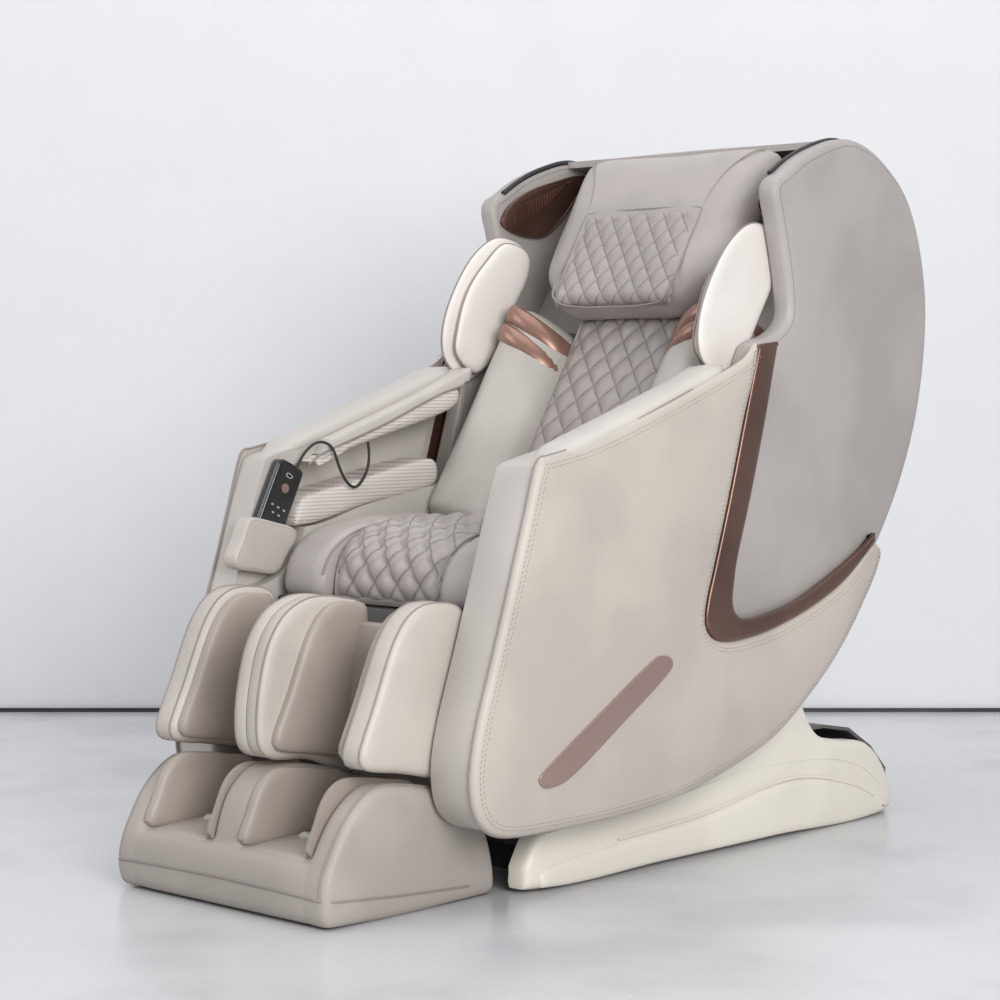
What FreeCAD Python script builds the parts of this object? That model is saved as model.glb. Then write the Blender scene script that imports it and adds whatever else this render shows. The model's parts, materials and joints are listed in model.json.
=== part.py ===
"""Reclining massage chair, as a FreeCAD macro.

X runs across the chair (+X is the sitter's left), Y from the toes to the back, Z up from the floor.
Every outline is drawn from the side, in Y and Z, and padded along X. The sheet Dims drives it all:
the functions ahead() and up() turn a place on the nominal chair into one on the chair as sized.
"""
import FreeCAD, Part
import Sketcher
import math
import os

SIZES = {
    "chair_length": 1436.0,
    "chair_height": 1220.0,
    "chair_width": 744.0,
    "panel_skin": 22.0,
    "panel_round": 12.0,
    "shell_wall": 46.0,
    "shell_round": 12.0,
    "cover_wall": 12.0,
    "soft_round": 10.0,
    "seat_half_width": 235.0,
    "quilt_half_width": 125.0,
    "arm_inner_half": 245.0,
    "slot_depth": 80.0,
    "remote_recess": 31.0,
    "legrest_half_width": 243.0,
    "well_wall": 55.0,
    "centre_wall_half": 33.0,
    "liner": 18.0,
    "base_half_width": 283.0,
    "base_wall": 40.0,
    "rail_size": 40.0,
    "tilt_pin_radius": 12.0,
    "back_pin_radius": 10.0,
    "leg_pin_radius": 8.0,
    "arm_pin_radius": 6.0,
    "running_fit": 0.05,
    "pivot_freedom": 4.0,
    "leg_pivot_freedom": 11.5,
    "guide_pin_radius": 6.0,
    "roller_radius": 20.0,
    "roller_width": 20.0,
    "wheel_radius": 28.0,
    "foot_roller_radius": 14.0,
    "slide_rod_radius": 8.0,
    "actuator_radius": 21.0,
    "actuator_rod_radius": 9.0,
    "cord_radius": 2.5,
    "back_lean": 32.7,
}

NOMINAL_LENGTH = 1436.0
NOMINAL_HEIGHT = 1220.0
NOMINAL_WIDTH = 744.0
SIDES = (("left", 1), ("right", -1))

os.makedirs("parts", exist_ok=True)
doc = FreeCAD.newDocument("MassageChair")
sheet = doc.addObject("Spreadsheet::Sheet", "Dims")
for row, (alias, amount) in enumerate(SIZES.items(), start=1):
    sheet.set(f"A{row}", alias)
    sheet.set(f"B{row}", str(amount))
    sheet.setAlias(f"B{row}", alias)
doc.recompute()


class Size(float):
    """A number that also carries the sheet expression it comes from."""

    def __new__(cls, amount, text):
        made = super().__new__(cls, amount)
        made.text = text
        return made

    def __add__(self, other):
        return Size(float(self) + float(other), f"({self.text} + {text_of(other)})")

    def __radd__(self, other):
        return Size(float(other) + float(self), f"({text_of(other)} + {self.text})")

    def __sub__(self, other):
        return Size(float(self) - float(other), f"({self.text} - {text_of(other)})")

    def __rsub__(self, other):
        return Size(float(other) - float(self), f"({text_of(other)} - {self.text})")

    def __mul__(self, other):
        return Size(float(self) * float(other), f"({self.text} * {text_of(other)})")

    __rmul__ = __mul__

    def __truediv__(self, other):
        return Size(float(self) / float(other), f"({self.text} / {text_of(other)})")

    def __neg__(self):
        return Size(-float(self), f"(-1 * {self.text})")


def text_of(amount):
    """The expression text of a number or a Size."""
    return amount.text if isinstance(amount, Size) else f"({float(amount):.6f})"


def size(alias):
    """The named size as a bound number."""
    return Size(SIZES[alias], f"Dims.{alias}")


def ahead(amount):
    """A place along Y on the nominal chair."""
    return size("chair_length") * (amount / NOMINAL_LENGTH)


def up(amount):
    """A place along Z on the nominal chair."""
    return size("chair_height") * (amount / NOMINAL_HEIGHT)


def out(amount):
    """A place along X on the nominal chair."""
    return size("chair_width") * (amount / NOMINAL_WIDTH)


def spot(y, z):
    """A side-view point of the nominal chair."""
    return (ahead(y), up(z))


def spots(pairs):
    """A side-view outline of the nominal chair."""
    return [spot(y, z) for y, z in pairs]


# ------------------------------------------------------------------ pivots and the leaning frame
TILT_PIVOT = (300.0, 300.0)
BACK_PIVOT = (100.0, 430.0)
LEG_PIVOT = (-400.0, 428.0)
LEAN = math.radians(SIZES["back_lean"])
TILT_ENDS = ((40.0, 80.0), (-60.0, 330.0))
RECLINE_ENDS = ((-200.0, 345.0), (140.0, 360.0))
LEGREST_ENDS = ((-80.0, 335.0), (-380.0, 350.0))


def lean(depth, climb):
    """Side-view place on the backrest: depth behind its hinge, climb up along its slope."""
    y = BACK_PIVOT[0] + depth * math.cos(LEAN) + climb * math.sin(LEAN)
    z = BACK_PIVOT[1] - depth * math.sin(LEAN) + climb * math.cos(LEAN)
    return (y, z)


def leans(pairs):
    """An outline given in the backrest's leaning frame."""
    return spots([lean(depth, climb) for depth, climb in pairs])


def lean_box(depth0, depth1, climb0, climb1):
    """A rectangle in the backrest's leaning frame."""
    return leans([(depth0, climb0), (depth1, climb0), (depth1, climb1), (depth0, climb1)])


def box(y0, y1, z0, z1):
    """A rectangle in the side view."""
    return spots([(y0, z0), (y1, z0), (y1, z1), (y0, z1)])


# ------------------------------------------------------------------ sketch and feature helpers
def origin_plane(body, role):
    """One of a body's own origin planes."""
    return [plane for plane in body.Origin.OriginFeatures if plane.Role == role][0]


def new_body(label):
    """An empty body whose label names its file."""
    body = doc.addObject("PartDesign::Body", "Body_" + label)
    body.Label = label
    return body


def side_sketch(body, name, start):
    """A sketch in the side view, held at X = start."""
    sketch = body.newObject("Sketcher::SketchObject", name)
    sketch.AttachmentSupport = [(origin_plane(body, "YZ_Plane"), "")]
    sketch.MapMode = "FlatFace"
    sketch.AttachmentOffset = FreeCAD.Placement(FreeCAD.Vector(0, 0, float(start)), FreeCAD.Rotation())
    if isinstance(start, Size):
        sketch.setExpression("AttachmentOffset.Base.z", start.text)
    return sketch


def hold(sketch, index, end, point):
    """Pin one end of a sketch edge to a bound place."""
    for kind, value in (("DistanceX", point[0]), ("DistanceY", point[1])):
        made = sketch.addConstraint(Sketcher.Constraint(kind, -1, 1, index, end, float(value)))
        if isinstance(value, Size):
            sketch.setExpression(f"Constraints[{made}]", value.text)


def draw_polygon(sketch, points):
    """Closed straight outline with every corner bound to the sheet."""
    count = len(points)
    vectors = [FreeCAD.Vector(float(y), float(z), 0) for y, z in points]
    for index in range(count):
        sketch.addGeometry(Part.LineSegment(vectors[index], vectors[(index + 1) % count]), False)
    for index in range(count):
        sketch.addConstraint(Sketcher.Constraint("Coincident", index, 2, (index + 1) % count, 1))
    for index, point in enumerate(points):
        hold(sketch, index, 1, point)


def draw_circle(sketch, centre, radius):
    """Circle with bound centre and radius."""
    middle = FreeCAD.Vector(float(centre[0]), float(centre[1]), 0)
    index = sketch.addGeometry(Part.Circle(middle, FreeCAD.Vector(0, 0, 1), float(radius)), False)
    hold(sketch, index, 3, centre)
    made = sketch.addConstraint(Sketcher.Constraint("Radius", index, float(radius)))
    if isinstance(radius, Size):
        sketch.setExpression(f"Constraints[{made}]", radius.text)


def pad(body, draw, shape, start, end, kind="PartDesign::Pad"):
    """Pad or pocket an outline from X = start to X = end."""
    low, high = (start, end) if float(start) < float(end) else (end, start)
    sketch = side_sketch(body, f"Outline{len(body.Group)}", low)
    draw(sketch, shape) if draw is not draw_circle else draw_circle(sketch, *shape)
    feature = body.newObject(kind, f"Feature{len(body.Group)}")
    feature.Profile = sketch
    span = high - low
    feature.Length = float(span)
    if isinstance(span, Size):
        feature.setExpression("Length", span.text)
    feature.Reversed = kind == "PartDesign::Pocket"
    sketch.Visibility = False
    doc.recompute()
    return feature


def pad_polygon(body, points, start, end):
    """Straight-sided slab."""
    return pad(body, draw_polygon, points, start, end)


def pad_circle(body, centre, radius, start, end):
    """Cylinder along X."""
    return pad(body, draw_circle, (centre, radius), start, end)


def cut_polygon(body, points, start, end):
    """Straight-sided recess."""
    before = body.Shape.Volume
    feature = pad(body, draw_polygon, points, start, end, "PartDesign::Pocket")
    assert body.Shape.Volume < before, f"{body.Label}: the recess removes nothing"
    return feature


def cut_circle(body, centre, radius, start, end):
    """Bore along X."""
    before = body.Shape.Volume
    feature = pad(body, draw_circle, (centre, radius), start, end, "PartDesign::Pocket")
    assert body.Shape.Volume < before, f"{body.Label}: the bore removes nothing"
    return feature


def edges_at(shape, place):
    """Names of the edges that lie in the plane X = place."""
    names = []
    for index, edge in enumerate(shape.Edges, start=1):
        bounds = edge.BoundBox
        if abs(bounds.XMin - place) < 1e-4 and abs(bounds.XMax - place) < 1e-4:
            names.append(f"Edge{index}")
    return names


def round_side(body, feature, places, radius):
    """Round the rim edges in the planes X = places."""
    names = []
    for place in places:
        names += edges_at(feature.Shape, float(place))
    fillet = body.newObject("PartDesign::Fillet", f"Round{len(body.Group)}")
    fillet.Base = (feature, names)
    fillet.Radius = float(radius)
    if isinstance(radius, Size):
        fillet.setExpression("Radius", radius.text)
    doc.recompute()
    if "Invalid" in fillet.State:
        raise RuntimeError(f"{body.Label}: the rim can't be rounded")
    return fillet


def loft(body, sections):
    """Body stretched between side outlines, each given as (X, points)."""
    sketches = []
    for place, points in sections:
        sketch = side_sketch(body, f"Section{len(body.Group)}", place)
        draw_polygon(sketch, points)
        sketch.Visibility = False
        sketches.append(sketch)
    feature = body.newObject("PartDesign::AdditiveLoft", f"Loft{len(body.Group)}")
    feature.Profile = sketches[0]
    feature.Sections = sketches[1:]
    feature.Ruled = True
    doc.recompute()
    return feature


def turned(body, centre, profile):
    """Body turned about an X axis through the centre; the profile is (X, radius) pairs."""
    sketch = body.newObject("Sketcher::SketchObject", "Profile")
    sketch.AttachmentSupport = [(origin_plane(body, "XY_Plane"), "")]
    sketch.MapMode = "FlatFace"
    offset = FreeCAD.Vector(0, float(centre[0]), float(centre[1]))
    sketch.AttachmentOffset = FreeCAD.Placement(offset, FreeCAD.Rotation())
    sketch.setExpression("AttachmentOffset.Base.y", text_of(centre[0]))
    sketch.setExpression("AttachmentOffset.Base.z", text_of(centre[1]))
    draw_polygon(sketch, profile)
    feature = body.newObject("PartDesign::Revolution", "Turned")
    feature.Profile = sketch
    feature.ReferenceAxis = (sketch, ["H_Axis"])
    feature.Angle = 360.0
    sketch.Visibility = False
    doc.recompute()
    return feature


# ------------------------------------------------------------------ base
HALF_BASE = size("base_half_width")
BASE_INNER = HALF_BASE - size("base_wall")
RAIL = size("rail_size")
RAIL_OUT = 230.0
FIT = size("running_fit")


def base_frame():
    """Floor frame with uprights, tilt shaft, wheel axles and the tilt actuator's bracket."""
    body = new_body("base_frame")
    for _, side in SIDES:
        pad_polygon(body, box(-270, 560, 20, 60), side * (RAIL_OUT - RAIL), side * RAIL_OUT)
    for front, back in ((-270, -230), (25, 55), (520, 560)):
        pad_polygon(body, box(front, back, 20, 60), RAIL - RAIL_OUT, RAIL_OUT - RAIL)
    for _, side in SIDES:
        upright = spots([(180, 60), (380, 60), (335, 300), (320, 330), (280, 330), (265, 300)])
        pad_polygon(body, upright, side * 205.0, side * 225.0)
        pad_polygon(body, box(540, 640, 20, 50), side * 216.0, side * 222.0)
        pad_circle(body, spot(620, 32), 5.0, side * 187.0, side * 218.0)
        pad_circle(body, spot(620, 32), 8.0, side * 183.0, side * 187.0)
        pad_polygon(body, box(380, 440, 30, 50), side * RAIL_OUT, side * BASE_INNER)
        pad_polygon(body, box(-200, -140, 30, 50), side * RAIL_OUT, side * BASE_INNER)
    pad_circle(body, spot(*TILT_PIVOT), size("tilt_pin_radius"), -235.0, 235.0)
    pad_polygon(body, spots([(25, 60), (55, 60), (50, 92), (30, 92)]), -78.0, -72.0)
    pad_circle(body, spot(*TILT_ENDS[0]), size("arm_pin_radius"), -114.0, -72.0)


def base_cover(name, side):
    """Moulded side cover of the base, with its swept foot and pivot pillar."""
    body = new_body("base_cover_" + name)
    foot = spots([(-335, 6), (-330, 45), (-289, 97), (-160, 128), (60, 160), (190, 230), (240, 325), (300, 347),
                  (350, 322), (378, 252), (433, 170), (510, 150), (590, 136), (645, 86), (671, 24), (671, 6)])
    slab = pad_polygon(body, foot, side * BASE_INNER, side * HALF_BASE)
    round_side(body, slab, [side * HALF_BASE], size("panel_round") * 0.8)
    sweep = spots([(-300, 6), (-296, 34), (-120, 50), (140, 66), (330, 96), (470, 88), (600, 50), (640, 6)])
    pad_polygon(body, sweep, side * HALF_BASE, side * (HALF_BASE + 5.0))


def rear_deck():
    """Rear cover over the electrics, between the side covers."""
    body = new_body("rear_deck_cover")
    skin = spots([(433, 176), (503, 175), (580, 162), (650, 122), (700, 75), (700, 8), (694, 8), (694, 72),
                  (646, 116), (578, 156), (503, 169), (433, 170)])
    pad_polygon(body, skin, -BASE_INNER, BASE_INNER)
    for step in range(7):
        pad_polygon(body, box(700, 702, 20 + 6 * step, 23 + 6 * step), -200.0, -90.0)


def levelling_feet():
    """Four rubber feet under the floor frame."""
    body = new_body("levelling_feet")
    sketch = body.newObject("Sketcher::SketchObject", "Feet")
    sketch.AttachmentSupport = [(origin_plane(body, "XY_Plane"), "")]
    sketch.MapMode = "FlatFace"
    for y in (-235, 535):
        for _, side in SIDES:
            draw_circle(sketch, (side * (RAIL_OUT - RAIL / 2.0), ahead(y)), 18.0)
    feature = body.newObject("PartDesign::Pad", "Pads")
    feature.Profile = sketch
    feature.setExpression("Length", up(20).text)
    doc.recompute()


def transport_wheel(name, side):
    """Small rear wheel, just clear of the floor."""
    body = new_body("transport_wheel_" + name)
    rim = size("wheel_radius")
    bore = 5.0 + FIT
    profile = [(side * 190.0, bore), (side * 212.0, bore), (side * 212.0, rim - 3.0), (side * 209.0, rim),
               (side * 193.0, rim), (side * 190.0, rim - 3.0)]
    turned(body, spot(620, 32), profile)


def control_box():
    """Control electronics in a ribbed housing."""
    body = new_body("control_box")
    pad_polygon(body, box(470, 590, 60, 136), -190.0, -20.0)
    for step in range(6):
        pad_polygon(body, box(480, 580, 136, 140), -180.0 + 26.0 * step, -170.0 + 26.0 * step)


def air_pump():
    """Air pump with its two round ends and outlet manifold."""
    body = new_body("air_pump")
    pad_polygon(body, box(470, 590, 60, 118), 50.0, 150.0)
    pad_circle(body, spot(530, 92), 26.0, 30.0, 170.0)
    pad_polygon(body, box(452, 470, 80, 100), 70.0, 130.0)


def power_inlet():
    """Mains inlet with the rocker's well."""
    body = new_body("power_inlet")
    pad_polygon(body, box(700, 712, 14, 66), -52.0, 52.0)
    cut_polygon(body, spots([(704, 26), (712, 26), (712, 54), (704, 54)]), -42.0, -8.0)
    cut_polygon(body, spots([(702, 28), (712, 28), (712, 52), (702, 52)]), 12.9, 37.1)
    for across in (-36.0, -27.5, -19.0):
        pad_polygon(body, box(704, 710, 37, 43), across, across + 4.0)


def power_rocker():
    """Rocker key of the mains switch."""
    body = new_body("power_rocker")
    pad_polygon(body, spots([(704.5, 32), (704.5, 48), (713.5, 49), (710.5, 40), (712.5, 31)]), 13.0, 37.0)


# ------------------------------------------------------------------ actuators
def actuator(name, ends, middle, tube_length, rod_start, retract, freedom):
    """Linear actuator: a housing pinned at the first end and a rod with an open eye at the other."""
    (y0, z0), (y1, z1) = [(float(ahead(y)), float(up(z))) for y, z in ends]
    span = math.hypot(y1 - y0, z1 - z0)
    turn = FreeCAD.Rotation(FreeCAD.Vector(1, 0, 0), math.degrees(math.atan2(-(y1 - y0), z1 - z0)))
    pin = size("arm_pin_radius")
    tube = size("actuator_radius")
    rod = size("actuator_rod_radius")

    housing = new_body(name + "_actuator_housing")
    housing.Placement = FreeCAD.Placement(FreeCAD.Vector(middle, y0, z0), turn)
    pad_circle(housing, (0.0, 0.0), pin + 8.0, -12.0, 12.0)
    column(housing, (0.0, 0.0), tube, pin + 3.0, tube_length)
    column(housing, (-tube * 0.9, 0.0), tube * 0.85, pin + 6.0, tube_length * 0.5)
    cut_circle(housing, (0.0, 0.0), pin + FIT, -12.0, 12.0)
    column(housing, (0.0, 0.0), rod + FIT, rod_start - retract, tube_length, "PartDesign::Pocket")

    shaft = new_body(name + "_actuator_rod")
    shaft.Placement = housing.Placement
    column(shaft, (0.0, 0.0), rod, rod_start, span - pin - freedom - 1.5)
    pad_circle(shaft, (0.0, span), pin + freedom + 4.0, -7.5, 7.5)
    cut_circle(shaft, (0.0, span), pin + freedom, -7.5, 7.5)


def column(body, centre, radius, start, end, kind="PartDesign::Pad"):
    """Cylinder along a body's own Z axis, from start to end."""
    sketch = body.newObject("Sketcher::SketchObject", f"Round{len(body.Group)}")
    sketch.AttachmentSupport = [(origin_plane(body, "XY_Plane"), "")]
    sketch.MapMode = "FlatFace"
    sketch.AttachmentOffset = FreeCAD.Placement(FreeCAD.Vector(0, 0, float(start)), FreeCAD.Rotation())
    if isinstance(start, Size):
        sketch.setExpression("AttachmentOffset.Base.z", start.text)
    draw_circle(sketch, (centre[1], centre[0]), radius)
    feature = body.newObject(kind, f"Column{len(body.Group)}")
    feature.Profile = sketch
    span = end - start
    feature.Length = float(span)
    if isinstance(span, Size):
        feature.setExpression("Length", span.text)
    feature.Reversed = kind == "PartDesign::Pocket"
    sketch.Visibility = False
    doc.recompute()
    return feature


# ------------------------------------------------------------------ seat
def seat_frame():
    """Seat chassis: side rails, cross tubes, pan, pins and actuator brackets."""
    body = new_body("seat_frame")
    tilt, back, leg = spot(*TILT_PIVOT), spot(*BACK_PIVOT), spot(*LEG_PIVOT)
    rail = spots([(-411, 388), (-411, 438), (-408, 441), (-388, 443), (-375, 420), (75, 420), (80, 452), (120, 452), (132, 420),
                  (335, 332), (345, 270), (262, 262), (90, 388)])
    for _, side in SIDES:
        pad_polygon(body, rail, side * 181.0, side * 200.0)
    for front in (-370, -215, -75, 20):
        pad_polygon(body, box(front, front + 30, 392, 420), -181.0, 181.0)
    pad_polygon(body, box(-370, 50, 420, 428), -200.0, 200.0)
    for _, side in SIDES:
        pad_circle(body, back, size("back_pin_radius"), side * 152.0, side * 200.0)
        pad_circle(body, leg, size("leg_pin_radius"), side * 152.0, side * 200.0)
        pad_polygon(body, box(-300, -260, 392, 416), side * 200.0, side * size("arm_inner_half"))
        pad_polygon(body, box(-60, -35, 392, 416), side * 200.0, side * size("arm_inner_half"))
        cut_circle(body, tilt, size("tilt_pin_radius") + FIT, side * 181.0, side * 200.0)
    pin = size("arm_pin_radius")
    for (y, z), foot, plate, reach in ((RECLINE_ENDS[0], -200, 122.0, 86.0), (LEGREST_ENDS[0], -60, 22.0, -14.0),
                                       (TILT_ENDS[1], -60, -116.0, -84.0)):
        strap = spots([(foot - 13, 394), (foot + 13, 394), (y + 10, z - 12), (y - 10, z - 12)])
        pad_polygon(body, strap, plate, plate + math.copysign(6.0, plate - reach))
        pad_circle(body, spot(y, z), pin, reach, plate + math.copysign(6.0, plate - reach))


def seat_front_board():
    """Dark valance board below the front of the cushion."""
    body = new_body("seat_front_board")
    pad_polygon(body, box(-377, -370, 388, 428), -178.0, 178.0)


def seat_cushion():
    """Seat cushion with a tongue that reaches in between the side bolsters."""
    body = new_body("seat_cushion")
    outline = spots([(-383, 446), (-372, 490), (-345, 528), (-300, 551), (-220, 561), (-110, 562), (-52, 556),
                     (-44, 500), (-44, 440), (-52, 428), (-200, 428), (-370, 428)])
    half = size("seat_half_width")
    slab = pad_polygon(body, outline, -half, half)
    round_side(body, slab, [-half, half], size("soft_round"))
    quilt = size("quilt_half_width")
    pad_polygon(body, spots([(-60, 430), (15, 430), (22, 528), (10, 545), (-60, 552)]), 5.0 - quilt, quilt - 5.0)


PANEL_SWEEP = [(-366, 676), (-374, 666), (-400, 584), (-433, 482), (-468, 380), (-498, 295), (-513, 235), (-515, 190),
               (-503, 150), (-476, 124), (-430, 112), (-327, 110), (-186, 115), (-37, 131), (94, 161), (203, 198),
               (288, 249), (375, 315), (450, 395), (512, 488)]
TRIM_OUTER = [(486, 508), (398, 449), (310, 412), (196, 381), (100, 368), (50, 370), (24, 381), (11, 402),
              (15, 435), (33, 487), (71, 599), (111, 728), (150, 851)]
TRIM_INNER = [(490, 526), (458, 505), (368, 463), (252, 419), (154, 402), (112, 402), (90, 411), (80, 430),
              (83, 462), (91, 500), (125, 597), (165, 727), (200, 857)]
ARM_TOP = [(116, 828), (-15, 778), (-140, 735), (-259, 697), (-350, 678)]
ARM_OUTLINE = [(-366, 660), (-392, 584), (-425, 482), (-445, 425), (-440, 400), (-410, 392), (-30, 392),
               (0, 470), (35, 600), (70, 725), (88, 806), (-15, 770), (-140, 728), (-259, 688), (-340, 668)]
SLOT_OUTLINE = [(-325, 548), (5, 608), (60, 618), (100, 790), (62, 781), (-272, 664), (-320, 640), (-336, 600)]
REMOTE_RECESS = [(-475, 466), (-372, 464), (-316, 528), (-268, 655), (-246, 720), (-400, 720), (-480, 560)]
PAD_UPPER = [(-290, 655), (-272, 664), (62, 781), (70, 758), (40, 738), (-120, 696), (-270, 658)]
PAD_LOWER = [(-325, 548), (5, 608), (12, 645), (-10, 655), (-200, 618), (-300, 598), (-322, 580)]


def side_panel(name, side):
    """Upholstered side: the long outer skin, and the arm with its hollow for the forearm."""
    body = new_body("side_panel_" + name)
    outer = out(372.0)
    skin = outer - size("panel_skin")
    slab = pad_polygon(body, spots(PANEL_SWEEP + TRIM_OUTER + ARM_TOP), side * skin, side * outer)
    round_side(body, slab, [side * outer], size("panel_round"))
    pad_polygon(body, spots(ARM_OUTLINE), side * size("arm_inner_half"), side * skin)
    inner = size("arm_inner_half")
    cut_polygon(body, spots(SLOT_OUTLINE), side * inner, side * (inner + size("slot_depth")))
    if side < 0:
        cut_polygon(body, spots(REMOTE_RECESS), side * inner, side * (inner + size("remote_recess")))


def arm_pads(name, side):
    """Air pads above and below the forearm hollow."""
    inner = size("arm_inner_half")
    for level, outline in (("upper", PAD_UPPER), ("lower", PAD_LOWER)):
        body = new_body(f"arm_pad_{level}_{name}")
        pad_polygon(body, spots(outline), side * inner, side * (inner + size("slot_depth")))


def side_trim(name, side):
    """Long V-shaped copper trim between the side panel and the back shell."""
    body = new_body("side_trim_" + name)
    skin = out(372.0) - size("panel_skin")
    pad_polygon(body, spots(TRIM_OUTER + TRIM_INNER[::-1]), side * skin, side * (skin + 12.0))


def side_plates():
    """Bare oblong plates low on the side panels."""
    body = new_body("side_plates")
    outer = out(372.0)
    outline = spots([(-380, 184), (-345, 182), (-322, 190), (-100, 334), (-92, 348), (-102, 360), (-132, 359),
                     (-372, 210), (-388, 196)])
    for _, side in SIDES:
        pad_polygon(body, outline, side * outer, side * (outer + 2.5))


# ------------------------------------------------------------------ remote
REMOTE_FOOT = (-392.0, 522.0)
REMOTE_TOP = (-328.0, 653.0)
REMOTE_HALF = 30.0
REMOTE_THICK = 20.0


def remote_place(across, along):
    """Side-view place on the handset: across its width, along its length from the foot."""
    dy, dz = REMOTE_TOP[0] - REMOTE_FOOT[0], REMOTE_TOP[1] - REMOTE_FOOT[1]
    length = math.hypot(dy, dz)
    dy, dz = dy / length, dz / length
    return (REMOTE_FOOT[0] + along * dy + across * dz, REMOTE_FOOT[1] + along * dz - across * dy)


def remote_outline(half, start, end):
    """Rounded-corner outline on the handset's axes."""
    nip = 8.0
    corners = [(-half + nip, start), (half - nip, start), (half, start + nip), (half, end - nip),
               (half - nip, end), (nip - half, end), (-half, end - nip), (-half, start + nip)]
    return spots([remote_place(across, along) for across, along in corners])


REMOTE_LENGTH = math.hypot(REMOTE_TOP[0] - REMOTE_FOOT[0], REMOTE_TOP[1] - REMOTE_FOOT[1])


def remote_parts():
    """Handset, its power key and the leather pocket that holds it."""
    wall = -size("arm_inner_half") - size("remote_recess")
    back = wall + 4.0
    face = back + REMOTE_THICK
    handset = new_body("remote_handset")
    slab = pad_polygon(handset, remote_outline(REMOTE_HALF, 0.0, REMOTE_LENGTH), back, face)
    round_side(handset, slab, [face], 3.0)
    centre = spot(*remote_place(0.0, REMOTE_LENGTH - 45.0))
    cut_circle(handset, centre, 8.0 + FIT, face - 3.0, face)
    key = new_body("remote_power_key")
    pad_circle(key, centre, 8.0, face - 1.8, face + 1.2)

    pocket = new_body("remote_pocket")
    outline = spots([(-462, 498), (-431, 563), (-418, 568), (-330, 545), (-322, 530), (-362, 476), (-380, 470),
                     (-452, 484)])
    slab = pad_polygon(pocket, outline, wall, face + 5.5)
    round_side(pocket, slab, [face + 5.5], 4.0)
    opening = [remote_place(across, along) for across, along in
               ((-REMOTE_HALF - 0.5, -0.2), (REMOTE_HALF + 0.5, -0.2), (REMOTE_HALF + 0.5, 90.0),
                (-REMOTE_HALF - 0.5, 90.0))]
    cut_polygon(pocket, spots(opening), back - 0.5, face + 1.0)


CORD_EXIT = (18.0, 22.0)
CORD_ROUTE = [(14, -280, 692), (26, -254, 684), (26, -240, 648), (26, -222, 618), (26, -195, 606), (9, -146, 652),
              (9, -154.9, 687.0)]


def remote_cord():
    """Handset lead: one plain tube, straight runs joined by tangent arcs."""
    across = SIZES["arm_inner_half"] + SIZES["remote_recess"] - 4.0 - REMOTE_THICK / 2.0
    route = [(0, *remote_place(CORD_EXIT[0], REMOTE_LENGTH))]
    route.append((0, *remote_place(CORD_EXIT[0], REMOTE_LENGTH + CORD_EXIT[1])))
    points = [FreeCAD.Vector(x - across, float(ahead(y)), float(up(z))) for x, y, z in route + CORD_ROUTE]
    edges = []
    start = points[0]
    for before, corner, after in zip(points, points[1:], points[2:]):
        inward = (corner - before).normalize()
        outward = (after - corner).normalize()
        half_turn = inward.getAngle(outward) / 2.0
        cut = 0.45 * min((corner - before).Length, (after - corner).Length)
        radius = cut / math.tan(half_turn)
        print(f"cord bend radius {radius:.1f} mm")
        enter, leave = corner - inward * cut, corner + outward * cut
        bisector = (outward - inward).normalize()
        middle = corner + bisector * (radius / math.cos(half_turn) - radius)
        edges.append(Part.makeLine(start, enter))
        edges.append(Part.Arc(enter, middle, leave).toShape())
        start = leave
    edges.append(Part.makeLine(start, points[-1]))
    path = Part.Wire(edges)
    ring = Part.makeCircle(float(size("cord_radius")), points[0], (points[1] - points[0]).normalize())
    tube = path.makePipeShell([Part.Wire([ring])], True, False)
    area = math.pi * float(size("cord_radius")) ** 2
    print(f"cord length {path.Length:.0f} mm, volume over section {tube.Volume / area:.0f} mm")
    cord = doc.addObject("Part::Feature", "remote_cord")
    cord.Shape = tube
    cord.Label = "remote_cord"
    cord.Placement = FreeCAD.Placement()


# ------------------------------------------------------------------ backrest
def back_frame():
    """Backrest chassis: side members, cross tubes, carriage rails and recline crank."""
    body = new_body("back_frame")
    for _, side in SIDES:
        member = leans([(-24, -14), (-12, -24), (10, -24), (22, -14), (22, 780), (-24, 780)])
        pad_polygon(body, member, side * 158.0, side * 178.0)
        cut_circle(body, spot(*BACK_PIVOT), size("back_pin_radius") + FIT, side * 158.0, side * 178.0)
        pad_polygon(body, lean_box(-34, 0, 60, 700), side * 128.0, side * 146.0)
        groove = lean_box(-20 - size("guide_pin_radius") - FIT, -20 + size("guide_pin_radius") + FIT, 70, 690)
        cut_polygon(body, groove, side * 128.0, side * 138.0)
    for low in (60, 670, 750):
        pad_polygon(body, lean_box(0, 20, low, low + 28), -158.0, 158.0)
    for low in (250, 560):
        for _, side in SIDES:
            pad_polygon(body, lean_box(-6, 20, low, low + 24), side * 178.0, side * SHELL_INNER)
    crank = spots([lean(0, 88), lean(20, 88), (155, 350), (128, 346)])
    pad_polygon(body, crank, 116.0, 122.0)
    pad_circle(body, spot(*RECLINE_ENDS[1]), size("arm_pin_radius"), 84.0, 122.0)


SHELL_OUTER = out(372.0) - size("panel_skin") - 2.0
SHELL_INNER = SHELL_OUTER - size("shell_wall")
SHELL_OUTLINE = [(216, 1118), (250, 1142), (293, 1168), (350, 1191), (424, 1210), (485, 1203), (547, 1175),
                 (611, 1125), (654, 1048), (679, 939), (674, 831), (649, 722), (602, 615), (536, 514),
                 (500, 490), (300, 425), (120, 388), (60, 388), (30, 405), (28, 440), (42, 487), (80, 599),
                 (120, 728), (156, 846), (215, 868), (255, 895), (258, 930), (246, 994), (228, 1060)]


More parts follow.
